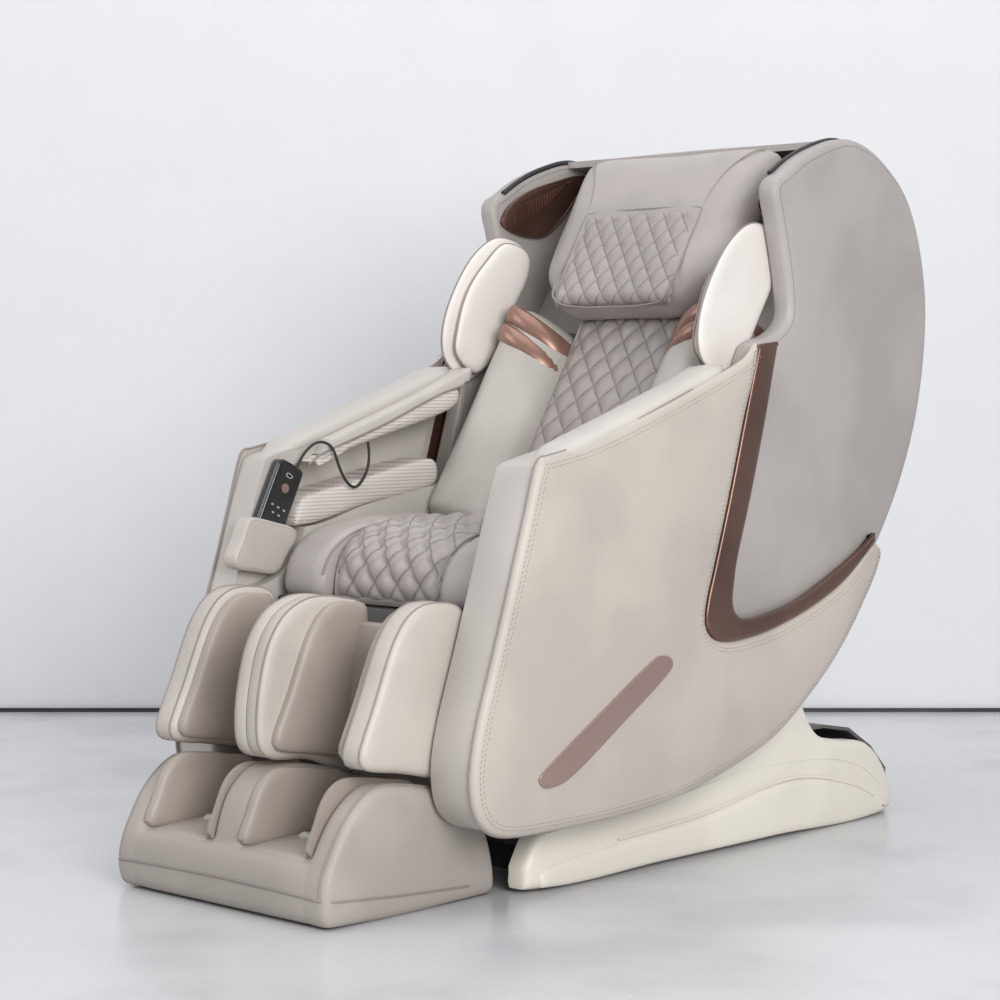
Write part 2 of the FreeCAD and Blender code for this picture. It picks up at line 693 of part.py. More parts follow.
def back_shell(name, side):
    """Upholstered side shell of the backrest."""
    body = new_body("back_shell_" + name)
    slab = pad_polygon(body, spots(SHELL_OUTLINE), side * SHELL_INNER, side * SHELL_OUTER)
    round_side(body, slab, [side * SHELL_OUTER], size("shell_round"))
    pad_polygon(body, lean_box(-60, -36, 494, 770), side * 126.0, side * SHELL_INNER)
    pad_polygon(body, lean_box(-60, -36, 60, 494), side * 246.0, side * SHELL_INNER)


COVER_REAR = [(424, 1210), (485, 1203), (547, 1175), (611, 1125), (654, 1048), (679, 939), (674, 831),
              (649, 722), (602, 615), (536, 514)]


def cover_section(swell):
    """Closed strip along the rear of the shell, pushed out by the swell."""
    wall = SIZES["cover_wall"]
    outer, inner = [], []
    count = len(COVER_REAR)
    for index, (y, z) in enumerate(COVER_REAR):
        before = COVER_REAR[max(index - 1, 0)]
        after = COVER_REAR[min(index + 1, count - 1)]
        along = math.hypot(after[0] - before[0], after[1] - before[1])
        normal = ((before[1] - after[1]) / along, (after[0] - before[0]) / along)
        share = math.sin(math.pi * index / (count - 1)) ** 0.7
        lift = swell * share
        outer.append((y + normal[0] * lift, z + normal[1] * lift))
        inner.append((y + normal[0] * (lift - wall), z + normal[1] * (lift - wall)))
    return spots(outer + inner[::-1])


def back_cover():
    """Curved rear cover between the two side shells."""
    body = new_body("back_cover")
    sections = []
    for share in (-1.0, -0.6, 0.0, 0.6, 1.0):
        swell = 38.0 * (1.0 - share * share)
        sections.append((SHELL_INNER * share, cover_section(swell)))
    loft(body, sections)


def back_pad():
    """Thin quilted centre pad in front of the rollers."""
    body = new_body("back_pad")
    half = size("quilt_half_width")
    slab = pad_polygon(body, lean_box(-122, -102, 60, 600), -half, half)
    round_side(body, slab, [-half, half], 4.0)


def bolster_section(front):
    """Side outline of a bolster whose front stands this far ahead of the hinge line."""
    rise = front - 100.0
    return leans([(-34, 30), (-100 - 0.7 * rise, 32), (-100 - 0.92 * rise, 56), (-front, 110), (-front, 240),
                  (-front - 4, 380), (-100 - 0.9 * rise, 446), (-100 - 0.6 * rise, 480), (-34, 492)])


def bolster_front(front, climb):
    """How far ahead a bolster's face stands at a climb between its middle and its shoulder."""
    if climb <= 380.0:
        return front + 4.0 * (climb - 240.0) / 140.0
    shoulder = 100.0 + 0.9 * (front - 100.0)
    return front + 4.0 + (shoulder - front - 4.0) * (climb - 380.0) / 66.0


BOLSTER_FRONTS = ((125.0, 126.0), (150.0, 166.0), (185.0, 190.0), (220.0, 196.0), (244.0, 176.0))


def bolster(name, side):
    """Side bolster that hugs the sitter's waist."""
    body = new_body("bolster_" + name)
    loft(body, [(side * place, bolster_section(front)) for place, front in BOLSTER_FRONTS])


def bolster_bands():
    """Two padded copper ribs across each bolster."""
    body = new_body("bolster_bands")
    for _, side in SIDES:
        for low in (362.0, 404.0):
            sections = []
            for place, front in BOLSTER_FRONTS:
                foot, crest, head = (bolster_front(front, low + step) for step in (0.0, 19.0, 38.0))
                rib = leans([(-foot, low), (-foot - 5, low + 3), (-crest - 9, low + 19), (-head - 5, low + 35),
                             (-head, low + 38), (-crest, low + 19)])
                sections.append((side * place, rib))
            loft(body, sections)


def shoulder_pad(name, side):
    """Air pad beside the shoulder, in two layers."""
    body = new_body("shoulder_pad_" + name)
    layers = ((0.0, 20.0, 0.0), (20.0, 40.0, 14.0))
    for near, far, shrink in layers:
        outline = leans([(-160 - shrink * 0.3, 330 + shrink), (-232, 322 + shrink), (-272 + shrink, 366 + shrink),
                         (-286 + shrink, 450), (-274 + shrink, 540 - shrink), (-232, 598 - shrink),
                         (-160 - shrink * 0.3, 606 - shrink), (-140 - shrink, 470)])
        pad_polygon(body, outline, side * (SHELL_INNER - near), side * (SHELL_INNER - far))


def speaker_grille(name, side):
    """Slotted triangular grille on the inside of the wing."""
    body = new_body("speaker_grille_" + name)
    outline = spots([(236, 1078), (244, 1108), (290, 1140), (360, 1165), (470, 1186), (452, 1160), (380, 1085),
                     (330, 1060)])
    pad_polygon(body, outline, side * SHELL_INNER, side * (SHELL_INNER - 12.0))
    for step in range(9):
        y = 268 + 18 * step
        low = 1084 + 5 * step
        high = 1108 + 7 * step
        slot = spots([(y, low), (y + 7, low + 2), (y + 7, high + 2), (y, high)])
        cut_polygon(body, slot, side * (SHELL_INNER - 4.0), side * (SHELL_INNER - 12.0))


def head_pillow():
    """Head pillow: quilted lower face, plain top, wings at the sides."""
    body = new_body("head_pillow")
    sections = []
    for share, front, drop in ((-1.0, 150.0, 30.0), (-0.85, 198.0, 8.0), (-0.5, 200.0, 0.0), (0.0, 196.0, 0.0),
                               (0.5, 200.0, 0.0), (0.85, 198.0, 8.0), (1.0, 150.0, 30.0)):
        outline = leans([(-122.3, 506 + drop), (-150, 494 + drop), (8 - front, 530 + drop), (-front, 620),
                         (-front - 4, 716), (20 - front, 782 - drop), (-146, 812 - drop), (-122.3, 796 - drop)])
        sections.append((out(216.0) * share, outline))
    loft(body, sections)


# ------------------------------------------------------------------ massage mechanism
CARRIAGE_CLIMB = 425.0
ARM_PIVOT = (-58.0, CARRIAGE_CLIMB)
ROLLER_SPREAD = 64.0
ROLLER_DEPTH = -66.0


def massage_carriage():
    """Carriage on four guide pins, with motor, ribs and the lugs of the two kneading arms."""
    body = new_body("massage_carriage")
    low, high = CARRIAGE_CLIMB - 40.0, CARRIAGE_CLIMB + 40.0
    pad_polygon(body, lean_box(-50, -12, low, high), -120.0, 120.0)
    for _, side in SIDES:
        for climb in (low + 14.0, high - 14.0):
            pad_circle(body, spot(*lean(-20, climb)), size("guide_pin_radius"), side * 120.0, side * 137.5)
        for place in (38.0, 61.0):
            pad_polygon(body, lean_box(-66, -50, CARRIAGE_CLIMB - 8, CARRIAGE_CLIMB + 8), side * place, side * (place + 6.0))
        pad_circle(body, spot(*lean(*ARM_PIVOT)), size("arm_pin_radius"), side * 40.0, side * 65.0)
        hollow = lean_box(-51, -45.5, CARRIAGE_CLIMB - 33, CARRIAGE_CLIMB + 33)
        cut_polygon(body, hollow, side * 44.2, side * 60.8)
    pad_circle(body, spot(*lean(-31, high + 16)), 20.0, -36.0, 40.0)
    pad_polygon(body, lean_box(-48, -14, high, high + 20), -20.0, 30.0)


def kneading_arm(name, side):
    """Rocking arm with a stub axle at each end."""
    body = new_body("kneading_arm_" + name)
    outline = leans([(-58, 352), (-75, 354), (-76, 372), (-69, 425), (-76, 478), (-75, 496), (-58, 498), (-57, 472),
                     (-50.5, 432), (-50.5, 418), (-57, 378)])
    pad_polygon(body, outline, side * 45.0, side * 60.0)
    for climb in (CARRIAGE_CLIMB - ROLLER_SPREAD, CARRIAGE_CLIMB + ROLLER_SPREAD):
        axle = spot(*lean(ROLLER_DEPTH, climb))
        pad_circle(body, axle, 5.0, side * 60.0, side * 84.0)
        pad_circle(body, axle, 8.0, side * 84.0, side * 87.0)
    cut_circle(body, spot(*lean(*ARM_PIVOT)), size("arm_pin_radius") + FIT, side * 45.0, side * 60.0)


def massage_roller(name, side, level, climb):
    """Crowned massage roller."""
    body = new_body(f"massage_roller_{level}_{name}")
    crown = size("roller_radius")
    width = size("roller_width")
    start = 62.0
    bore = 5.0 + FIT
    profile = [(side * start, bore), (side * (start + width), bore), (side * (start + width), crown - 6.0),
               (side * (start + width * 0.75), crown - 1.2), (side * (start + width * 0.5), crown),
               (side * (start + width * 0.25), crown - 1.2), (side * start, crown - 6.0)]
    turned(body, spot(*lean(ROLLER_DEPTH, climb)), profile)


# ------------------------------------------------------------------ legrest
CALF_WALL = [(-419, 436), (-432, 451), (-460, 459), (-506, 459), (-532, 449), (-552, 432), (-574, 400), (-612, 315),
             (-640, 254), (-642, 238), (-630, 224), (-560, 212), (-450, 190), (-436, 200), (-428, 300)]
CALF_CENTRE = [(-432, 436), (-480, 456), (-535, 461), (-575, 451), (-606, 430), (-634, 388), (-652, 320),
               (-656, 262), (-648, 232), (-624, 218), (-560, 212), (-440, 190)]
SLIDE_TOP = (-404.0, 392.0)
SLIDE_STEP = (-0.0718, -0.9974)


def slide_place(reach):
    """Side-view place along the footrest's slide."""
    return (SLIDE_TOP[0] + SLIDE_STEP[0] * reach, SLIDE_TOP[1] + SLIDE_STEP[1] * reach)


def slanted(body, centre_x, start, end, radius, kind="PartDesign::Pad"):
    """Round bar or bore along the footrest's slide, as a many-sided outline swept on X-Y."""
    (y0, z0), (y1, z1) = [(float(ahead(y)), float(up(z))) for y, z in (slide_place(start), slide_place(end))]
    sketch = body.newObject("Sketcher::SketchObject", f"Bar{len(body.Group)}")
    sketch.AttachmentSupport = [(origin_plane(body, "XY_Plane"), "")]
    sketch.MapMode = "FlatFace"
    turn = FreeCAD.Rotation(FreeCAD.Vector(1, 0, 0), math.degrees(math.atan2(-(y1 - y0), z1 - z0)))
    sketch.AttachmentOffset = FreeCAD.Placement(FreeCAD.Vector(0, y0, z0), turn)
    draw_circle(sketch, (centre_x, 0.0), radius)
    feature = body.newObject(kind, f"Slide{len(body.Group)}")
    feature.Profile = sketch
    feature.Length = math.hypot(y1 - y0, z1 - z0)
    feature.Reversed = kind == "PartDesign::Pocket"
    sketch.Visibility = False
    doc.recompute()
    return feature


def calf_frame():
    """Legrest chassis: hinge lugs, back plate, guide tubes and the actuator's crank."""
    body = new_body("calf_frame")
    leg = spot(*LEG_PIVOT)
    lug = spots([(-414, 436), (-408, 442), (-392, 442), (-386, 436), (-386, 416), (-410, 300), (-426, 300),
                 (-417, 400)])
    for _, side in SIDES:
        pad_polygon(body, lug, side * 158.0, side * 178.0)
        cut_circle(body, leg, size("leg_pin_radius") + FIT, side * 158.0, side * 178.0)
    plate = spots([(-420.6, 400), (-414.6, 400), (-429.7, 190), (-435.7, 190)])
    pad_polygon(body, plate, -178.0, 178.0)
    for _, side in SIDES:
        slanted(body, side * 120.0, 20.0, 175.0, size("slide_rod_radius") + 5.0)
        slanted(body, side * 120.0, 20.0, 175.0, size("slide_rod_radius") + FIT, "PartDesign::Pocket")
    y, z = LEGREST_ENDS[1]
    crank = spots([(-421, 390), (-398, 385), (y + 12, z + 8), (y + 12, z - 10), (-427, 310)])
    pad_polygon(body, crank, 16.0, 22.0)
    pad_circle(body, spot(y, z), size("arm_pin_radius"), -16.0, 22.0)


def calf_shell():
    """Upholstered calf unit: back wall, two outer walls and the double centre wall."""
    body = new_body("calf_shell")
    half = size("legrest_half_width")
    wall = size("well_wall")
    pad_polygon(body, spots([(-418, 440), (-462, 450), (-495, 206), (-436, 190)]), wall - half, half - wall)
    for _, side in SIDES:
        slab = pad_polygon(body, spots(CALF_WALL), side * (half - wall), side * half)
        round_side(body, slab, [side * half], size("soft_round"))
    centre = size("centre_wall_half")
    pad_polygon(body, spots(CALF_CENTRE), -centre, centre)


def calf_liners():
    """Beige air pads on the walls of the two calf wells."""
    body = new_body("calf_liners")
    outline = spots([(-464.705, 430), (-520, 432), (-565, 400), (-598, 320), (-618, 250), (-560, 228), (-492.836, 222)])
    inner = size("centre_wall_half")
    outer = size("legrest_half_width") - size("well_wall")
    for _, side in SIDES:
        pad_polygon(body, outline, side * inner, side * (inner + size("liner")))
        pad_polygon(body, outline, side * outer, side * (outer - size("liner")))


FOOT_TOP = [(-704, 3), (-716, 22), (-718, 48), (-713, 78), (-686, 130), (-664, 160), (-641, 180), (-618, 194),
            (-595, 199), (-540, 193), (-464, 177), (-415, 158), (-384, 120), (-364, 72), (-354, 14), (-364, 3)]
FOOT_CENTRE = [(-697, 92), (-688, 128), (-672, 166), (-648, 192), (-618, 206), (-580, 208), (-540, 202), (-468, 184),
               (-440, 120), (-560, 60)]
FOOT_ROLLER = (-600.0, 96.0)


def foot_shell():
    """Upholstered foot unit with two wells, the slide rods and the rollers' troughs."""
    body = new_body("foot_shell")
    half = size("legrest_half_width")
    wall = size("well_wall")
    sole = spots([(-718, 44), (-714, 74), (-698, 96), (-500, 100), (-470, 176), (-415, 158), (-384, 120), (-364, 72),
                  (-354, 14), (-360, 3), (-700, 3), (-714, 14)])
    pad_polygon(body, sole, wall - half, half - wall)
    for _, side in SIDES:
        slab = pad_polygon(body, spots(FOOT_TOP), side * (half - wall), side * half)
        round_side(body, slab, [side * half], size("soft_round"))
    centre = size("centre_wall_half")
    pad_polygon(body, spots(FOOT_CENTRE), -centre, centre)
    for _, side in SIDES:
        slanted(body, side * 120.0, 22.0, 262.0, size("slide_rod_radius"))
        trough = size("foot_roller_radius") + 2.0
        middle = spot(*FOOT_ROLLER)
        cut_circle(body, middle, trough, side * 62.0, side * 166.0)
        cut_circle(body, middle, 4.0 + FIT, side * 56.0, side * 172.0)


def foot_liners():
    """Beige air pads on the walls of the two foot wells."""
    body = new_body("foot_liners")
    outline = spots([(-682, 100), (-668, 140), (-636, 172), (-594, 190), (-540, 184), (-478, 168), (-500, 101)])
    inner = size("centre_wall_half")
    outer = size("legrest_half_width") - size("well_wall")
    for _, side in SIDES:
        pad_polygon(body, outline, side * inner, side * (inner + size("liner")))
        pad_polygon(body, outline, side * outer, side * (outer - size("liner")))


def foot_roller(name, side):
    """Grooved sole roller on its own stub axles."""
    body = new_body("foot_roller_" + name)
    crown = size("foot_roller_radius")
    profile = [(side * 56.5, 0.0), (side * 56.5, 4.0), (side * 64.0, 4.0)]
    place = 64.0
    while place < 160.0:
        profile += [(side * place, crown - 3.0), (side * (place + 5.0), crown), (side * (place + 14.0), crown),
                    (side * (place + 19.0), crown - 3.0)]
        place += 25.0
    profile += [(side * 164.0, 4.0), (side * 171.5, 4.0), (side * 171.5, 0.0)]
    turned(body, spot(*FOOT_ROLLER), profile)


# ------------------------------------------------------------------ build
def build_base():
    """Everything that stands on the floor."""
    base_frame()
    rear_deck()
    levelling_feet()
    control_box()
    air_pump()
    power_inlet()
    power_rocker()
    for name, side in SIDES:
        base_cover(name, side)
        transport_wheel(name, side)


def build_seat():
    """Seat, arms, remote and the three actuators."""
    seat_frame()
    seat_front_board()
    seat_cushion()
    remote_parts()
    remote_cord()
    side_plates()
    for name, side in SIDES:
        side_panel(name, side)
        arm_pads(name, side)
        side_trim(name, side)
    actuator("tilt", TILT_ENDS, -100.0, 170.0, 60.0, 3.0, size("pivot_freedom"))
    actuator("recline", RECLINE_ENDS, 100.0, 210.0, 90.0, 46.0, size("pivot_freedom"))
    actuator("legrest", LEGREST_ENDS, 0.0, 200.0, 60.0, 3.0, size("leg_pivot_freedom"))


def build_backrest():
    """Backrest, pillow and massage mechanism."""
    back_frame()
    back_cover()
    back_pad()
    head_pillow()
    massage_carriage()
    bolster_bands()
    for name, side in SIDES:
        back_shell(name, side)
        bolster(name, side)
        shoulder_pad(name, side)
        speaker_grille(name, side)
        kneading_arm(name, side)
        massage_roller(name, side, "lower", CARRIAGE_CLIMB - ROLLER_SPREAD)
        massage_roller(name, side, "upper", CARRIAGE_CLIMB + ROLLER_SPREAD)


def build_legrest():
    """Calf unit and foot unit."""
    calf_frame()
    calf_shell()
    calf_liners()
    foot_shell()
    foot_liners()
    for name, side in SIDES:
        foot_roller(name, side)


def export_parts():
    """Check every sub-part and write its STEP file."""
    for item in doc.Objects:
        whole = item.TypeId == "PartDesign::Body" or item.Label == "remote_cord"
        if {"Invalid", "Error"} & set(item.State):
            raise RuntimeError(f"{item.Label} / {item.Name}: {item.State}")
        if not whole:
            continue
        shape = item.Shape
        if shape.isNull() or not shape.isValid() or not shape.Solids:
            raise RuntimeError(f"{item.Label}: no valid solid")
        shape.exportStep(f"parts/{item.Label}.step")


build_base()
build_seat()
build_backrest()
build_legrest()
doc.recompute()
export_parts()
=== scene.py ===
"""Looks of the reclining massage chair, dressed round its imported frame.

Lengths inside the classes are millimetres in the frame's own axes: +X is the sitter's left,
-Y the toes, +Z up. Every outline is a side view, a list of (Y, Z) pairs.
"""
from __future__ import annotations

import json
import logging
import math
from dataclasses import dataclass
from enum import Enum
from typing import Callable, Sequence

import bmesh
import bpy
import numpy as np
from mathutils import Matrix, Vector
from mathutils.bvhtree import BVHTree

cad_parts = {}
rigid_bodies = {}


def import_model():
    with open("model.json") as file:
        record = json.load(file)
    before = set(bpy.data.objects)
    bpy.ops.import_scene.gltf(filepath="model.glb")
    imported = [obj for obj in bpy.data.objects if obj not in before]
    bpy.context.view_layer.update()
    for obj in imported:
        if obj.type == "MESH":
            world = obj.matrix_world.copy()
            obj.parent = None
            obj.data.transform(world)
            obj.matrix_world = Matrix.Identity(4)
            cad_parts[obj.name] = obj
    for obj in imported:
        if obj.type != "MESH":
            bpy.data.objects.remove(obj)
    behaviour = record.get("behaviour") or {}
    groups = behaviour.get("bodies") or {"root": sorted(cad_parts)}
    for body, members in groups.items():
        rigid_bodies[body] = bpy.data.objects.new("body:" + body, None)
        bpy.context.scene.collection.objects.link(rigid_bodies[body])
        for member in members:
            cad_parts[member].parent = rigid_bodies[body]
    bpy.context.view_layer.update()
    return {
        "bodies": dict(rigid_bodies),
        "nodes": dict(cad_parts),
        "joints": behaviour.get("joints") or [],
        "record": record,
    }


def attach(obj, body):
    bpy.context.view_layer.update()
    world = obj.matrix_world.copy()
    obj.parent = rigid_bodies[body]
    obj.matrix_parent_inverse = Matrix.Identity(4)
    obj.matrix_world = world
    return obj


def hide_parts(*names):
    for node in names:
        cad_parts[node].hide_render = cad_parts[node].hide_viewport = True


LOG = logging.getLogger("chair")
MM = 0.001
LEAN = math.radians(32.7)
SIDES = (("left", 1), ("right", -1))
PANEL_INNER = 350.5
SHELL_INNER = 302.5
COVER_HALF = 304.0
BOLSTER_OUTER = 246.0
WELL_PADS = (("outer", (188.0, 172.0)), ("inner", (33.0, 49.0)))
Pair = tuple[float, float]
Triple = tuple[float, float, float]
Mesh = tuple[list[Triple], list[Sequence[int]]]


class Kind(Enum):
    """How a finish is made up."""

    LEATHER = "leather"
    QUILT = "quilt"
    PERFORATED = "perforated"
    MOULDED = "moulded"
    METAL = "metal"
    FLOOR = "floor"


@dataclass(frozen=True)
class Finish:
    """One surface finish.

    Args:
        name: Material name.
        kind: The recipe.
        colour: Main linear colour.
        shade: Second linear colour that the first drifts to; darkened, it also gives the painted shade in
            quilt seams and perforation holes.
        roughness: Mean roughness.
        grain: Size of the surface grain in millimetres.
        depth: Height of the grain in millimetres.
        metallic: Metalness.
        coat: Clear coat weight.
    """

    name: str
    kind: Kind
    colour: Triple
    shade: Triple
    roughness: float = 0.5
    grain: float = 1.6
    depth: float = 0.12
    metallic: float = 0.0
    coat: float = 0.0


CHAMPAGNE = Finish("champagne_leather", Kind.LEATHER, (0.53, 0.475, 0.42), (0.47, 0.42, 0.375), 0.46)
ARM_TOP = Finish("arm_top_leather", Kind.LEATHER, (0.57, 0.53, 0.49), (0.51, 0.475, 0.44), 0.40)
SHELL = Finish("shell_leather", Kind.LEATHER, (0.42, 0.385, 0.365), (0.37, 0.34, 0.32), 0.46)
TAUPE = Finish("taupe_leather", Kind.LEATHER, (0.43, 0.39, 0.365), (0.37, 0.335, 0.315), 0.42)
QUILT = Finish("taupe_quilt", Kind.QUILT, (0.39, 0.35, 0.33), (0.33, 0.295, 0.28), 0.42)
IVORY = Finish("ivory_leather", Kind.LEATHER, (0.80, 0.75, 0.705), (0.73, 0.68, 0.635), 0.42)
HIDE = Finish("bolster_leather", Kind.LEATHER, (0.47, 0.44, 0.40), (0.41, 0.385, 0.35), 0.42)
PAD = Finish("perforated_pad", Kind.PERFORATED, (0.72, 0.67, 0.62), (0.66, 0.60, 0.55), 0.5)
GREIGE = Finish("greige_leather", Kind.LEATHER, (0.56, 0.51, 0.46), (0.50, 0.455, 0.41), 0.46)
FOOT = Finish("foot_leather", Kind.LEATHER, (0.42, 0.375, 0.335), (0.37, 0.33, 0.295), 0.46)
# painted shade: this beige is darkened to stand in for the shade that falls in the leg wells
BEIGE_WITH_PAINTED_SHADE = Finish("beige_leather", Kind.LEATHER, (0.40, 0.34, 0.30), (0.345, 0.295, 0.26), 0.44)
PIPING = Finish("grey_piping", Kind.LEATHER, (0.30, 0.265, 0.245), (0.26, 0.23, 0.21), 0.5, 0.8)
THREAD = Finish("grey_thread", Kind.MOULDED, (0.33, 0.29, 0.27), (0.28, 0.25, 0.23), 0.8, 0.4, 0.05)
COPPER = Finish("copper_lacquer", Kind.METAL, (0.175, 0.093, 0.07), (0.14, 0.073, 0.055), 0.32, 1.0, 0.02,
                0.75, 0.5)
COPPER_HIDE = Finish("copper_leather", Kind.LEATHER, (0.33, 0.19, 0.145), (0.27, 0.15, 0.115), 0.3, 1.2,
                     0.08, 0.45)
ROSE = Finish("rose_lacquer", Kind.METAL, (0.42, 0.285, 0.255), (0.37, 0.25, 0.225), 0.3, 1.0, 0.01, 0.55,
              0.5)
CREAM = Finish("cream_moulding", Kind.MOULDED, (0.80, 0.75, 0.66), (0.74, 0.69, 0.605), 0.4, 1.0, 0.03)
DECK = Finish("grey_moulding", Kind.MOULDED, (0.13, 0.125, 0.12), (0.10, 0.097, 0.093), 0.55, 1.2, 0.06)
BLACK = Finish("black_gloss", Kind.MOULDED, (0.012, 0.012, 0.014), (0.018, 0.018, 0.02), 0.14, 1.0, 0.005,
               0.0, 0.6)
SATIN = Finish("black_satin", Kind.MOULDED, (0.022, 0.022, 0.024), (0.03, 0.03, 0.032), 0.5, 0.8, 0.03)
GLOW = Finish("pale_print", Kind.MOULDED, (0.75, 0.77, 0.8), (0.7, 0.72, 0.75), 0.4, 1.0, 0.005)
RUBBER = Finish("black_rubber", Kind.MOULDED, (0.025, 0.025, 0.026), (0.035, 0.034, 0.034), 0.75, 0.9, 0.08)
PAINT = Finish("black_paint", Kind.METAL, (0.045, 0.046, 0.05), (0.03, 0.03, 0.034), 0.45, 1.4, 0.05, 0.3)
HOUSING = Finish("grey_housing", Kind.MOULDED, (0.085, 0.087, 0.092), (0.07, 0.071, 0.076), 0.5, 1.0, 0.06)
STEEL = Finish("ground_steel", Kind.METAL, (0.58, 0.585, 0.60), (0.50, 0.505, 0.52), 0.28, 0.6, 0.02, 1.0)
NYLON = Finish("cream_nylon", Kind.MOULDED, (0.60, 0.58, 0.52), (0.55, 0.53, 0.47), 0.42, 1.0, 0.03)
FLOOR = Finish("pale_floor", Kind.FLOOR, (0.62, 0.625, 0.64), (0.52, 0.525, 0.545), 0.22, 3.0, 0.02)
WALL = Finish("pale_wall", Kind.MOULDED, (0.80, 0.80, 0.815), (0.79, 0.79, 0.805), 0.85, 4.0, 0.05)

NODE_FINISHES: dict[str, Finish] = {
    "base_frame": PAINT, "levelling_feet": RUBBER, "rear_deck_cover": DECK, "control_box": HOUSING,
    "air_pump": HOUSING, "power_inlet": SATIN, "power_rocker": BLACK, "seat_frame": PAINT,
    "seat_front_board": DECK, "back_frame": PAINT, "massage_carriage": HOUSING, "calf_frame": PAINT,
    "transport_wheel_left": RUBBER, "transport_wheel_right": RUBBER, "kneading_arm_left": STEEL,
    "kneading_arm_right": STEEL, "massage_roller_lower_left": NYLON, "massage_roller_lower_right": NYLON,
    "massage_roller_upper_left": NYLON, "massage_roller_upper_right": NYLON, "foot_roller_left": NYLON,
    "foot_roller_right": NYLON, "remote_power_key": ROSE, "tilt_actuator_housing": HOUSING,
    "recline_actuator_housing": HOUSING, "legrest_actuator_housing": HOUSING, "tilt_actuator_rod": STEEL,
    "recline_actuator_rod": STEEL, "legrest_actuator_rod": STEEL,
}


# ---------------------------------------------------------------- plane geometry
def lean(depth: float, climb: float) -> Pair:
    """Turn a place in the backrest's leaning frame into side-view coordinates.

    Args:
        depth: Distance behind the hinge line.
        climb: Distance up along the slope.

    Returns:
        The (Y, Z) pair.
    """
    return (100.0 + depth * math.cos(LEAN) + climb * math.sin(LEAN),
            430.0 - depth * math.sin(LEAN) + climb * math.cos(LEAN))


def leans(pairs: Sequence[Pair]) -> list[Pair]:
    """Turn an outline in the leaning frame into side-view coordinates.

    Args:
        pairs: (depth, climb) pairs.

    Returns:
        (Y, Z) pairs.
    """
    return [lean(depth, climb) for depth, climb in pairs]


def smooth(points: Sequence[Sequence[float]], closed: bool = True, step: float = 12.0) -> np.ndarray:
    """Draw a smooth line through points and space it evenly.

    Args:
        points: The points to pass through, of any dimension.
        closed: Whether the line returns to its start.
        step: Spacing in millimetres.

    Returns:
        The spaced points, one row each.
    """
    given = np.array(points, dtype=float)
    count = len(given)
    spans = count if closed else count - 1
    dense: list[np.ndarray] = []
    for index in range(spans):
        pick = [(index + shift) % count if closed else min(max(index + shift, 0),
                                                           count - 1) for shift in (-1, 0, 1, 2)]
        before, here, there, after = given[pick]
        size = max(float(np.linalg.norm(there - here)), 1e-6)
        left = (there - before) * size / max(float(np.linalg.norm(there - before)), 1e-6)
        right = (after - here) * size / max(float(np.linalg.norm(after - here)), 1e-6)
        for share in np.linspace(0.0, 1.0, 16, endpoint=False):
            square, cube = share * share, share ** 3
            dense.append((2 * cube - 3 * square + 1) * here + (cube - 2 * square + share) * left
                         + (3 * square - 2 * cube) * there + (cube - square) * right)
    dense.append(given[0] if closed else given[-1])
    line = np.array(dense)
    travel = np.concatenate([[0.0], np.cumsum(np.linalg.norm(np.diff(line, axis=0), axis=1))])
    number = max(int(round(travel[-1] / step)), 8)
    places = np.linspace(0.0, travel[-1], number, endpoint=not closed)
    return np.stack([np.interp(places, travel, line[:, axis]) for axis in range(line.shape[1])], axis=1)


def anticlockwise(outline: np.ndarray) -> np.ndarray:
    """Order a closed outline anticlockwise.

    Args:
        outline: (Y, Z) rows.

    Returns:
        The same rows, reversed if they ran clockwise.
    """
    ahead = np.roll(outline, -1, axis=0)
    area = float(np.sum(outline[:, 0] * ahead[:, 1] - ahead[:, 0] * outline[:, 1]))
    return outline if area > 0 else outline[::-1]


def inset(outline: np.ndarray, distance: float) -> np.ndarray:
    """Move an anticlockwise outline inwards.

    Args:
        outline: (Y, Z) rows.
        distance: How far, in millimetres.

    Returns:
        The moved rows.
    """
    along = np.roll(outline, -1, axis=0) - np.roll(outline, 1, axis=0)
    along /= np.maximum(np.linalg.norm(along, axis=1, keepdims=True), 1e-9)
    return outline + np.stack([-along[:, 1], along[:, 0]], axis=1) * distance


def clearance(points: np.ndarray, outline: np.ndarray) -> np.ndarray:
    """Distance of points from a closed outline.

    Args:
        points: (Y, Z) rows.
        outline: (Y, Z) rows.

    Returns:
        One distance for each point.
    """
    span = np.roll(outline, -1, axis=0) - outline
    reach = np.maximum(np.sum(span * span, axis=1), 1e-9)
    best = np.full(len(points), 1e9)
    for start, step, square in zip(outline, span, reach):
        share = np.clip((points - start) @ step / square, 0.0, 1.0)
        best = np.minimum(best, np.linalg.norm(points - start - share[:, None] * step, axis=1))
    return best


# ---------------------------------------------------------------- meshes
@dataclass(frozen=True)
class Crown:
    """How one face of a padded slab swells.

    Args:
        rim: X of the face at its rim.
        edge: How much the rounded edge rises.
        bulge: How much the middle rises above that.
        reach: Distance from the rim at which the bulge is full.
        width: Width of the rounded edge.
    """

    rim: float
    edge: float
    bulge: float = 0.0
    reach: float = 120.0
    width: float = 14.0

    def height(self, inward: np.ndarray, way: float) -> np.ndarray:
        """X of the face at given distances from the rim.

        Args:
            inward: Distances in millimetres.
            way: +1 or -1, the way that the face looks.

        Returns:
            One X for each distance.
        """
        turn = np.clip(inward / self.width, 0.0, 1.0)
        swell = np.clip(inward / self.reach, 0.0, 1.0)
        rounded = self.edge * np.sqrt(1.0 - (1.0 - turn) ** 2)
        domed = self.bulge * (1.0 - (1.0 - swell) ** 2)
        return self.rim + way * (rounded + domed)


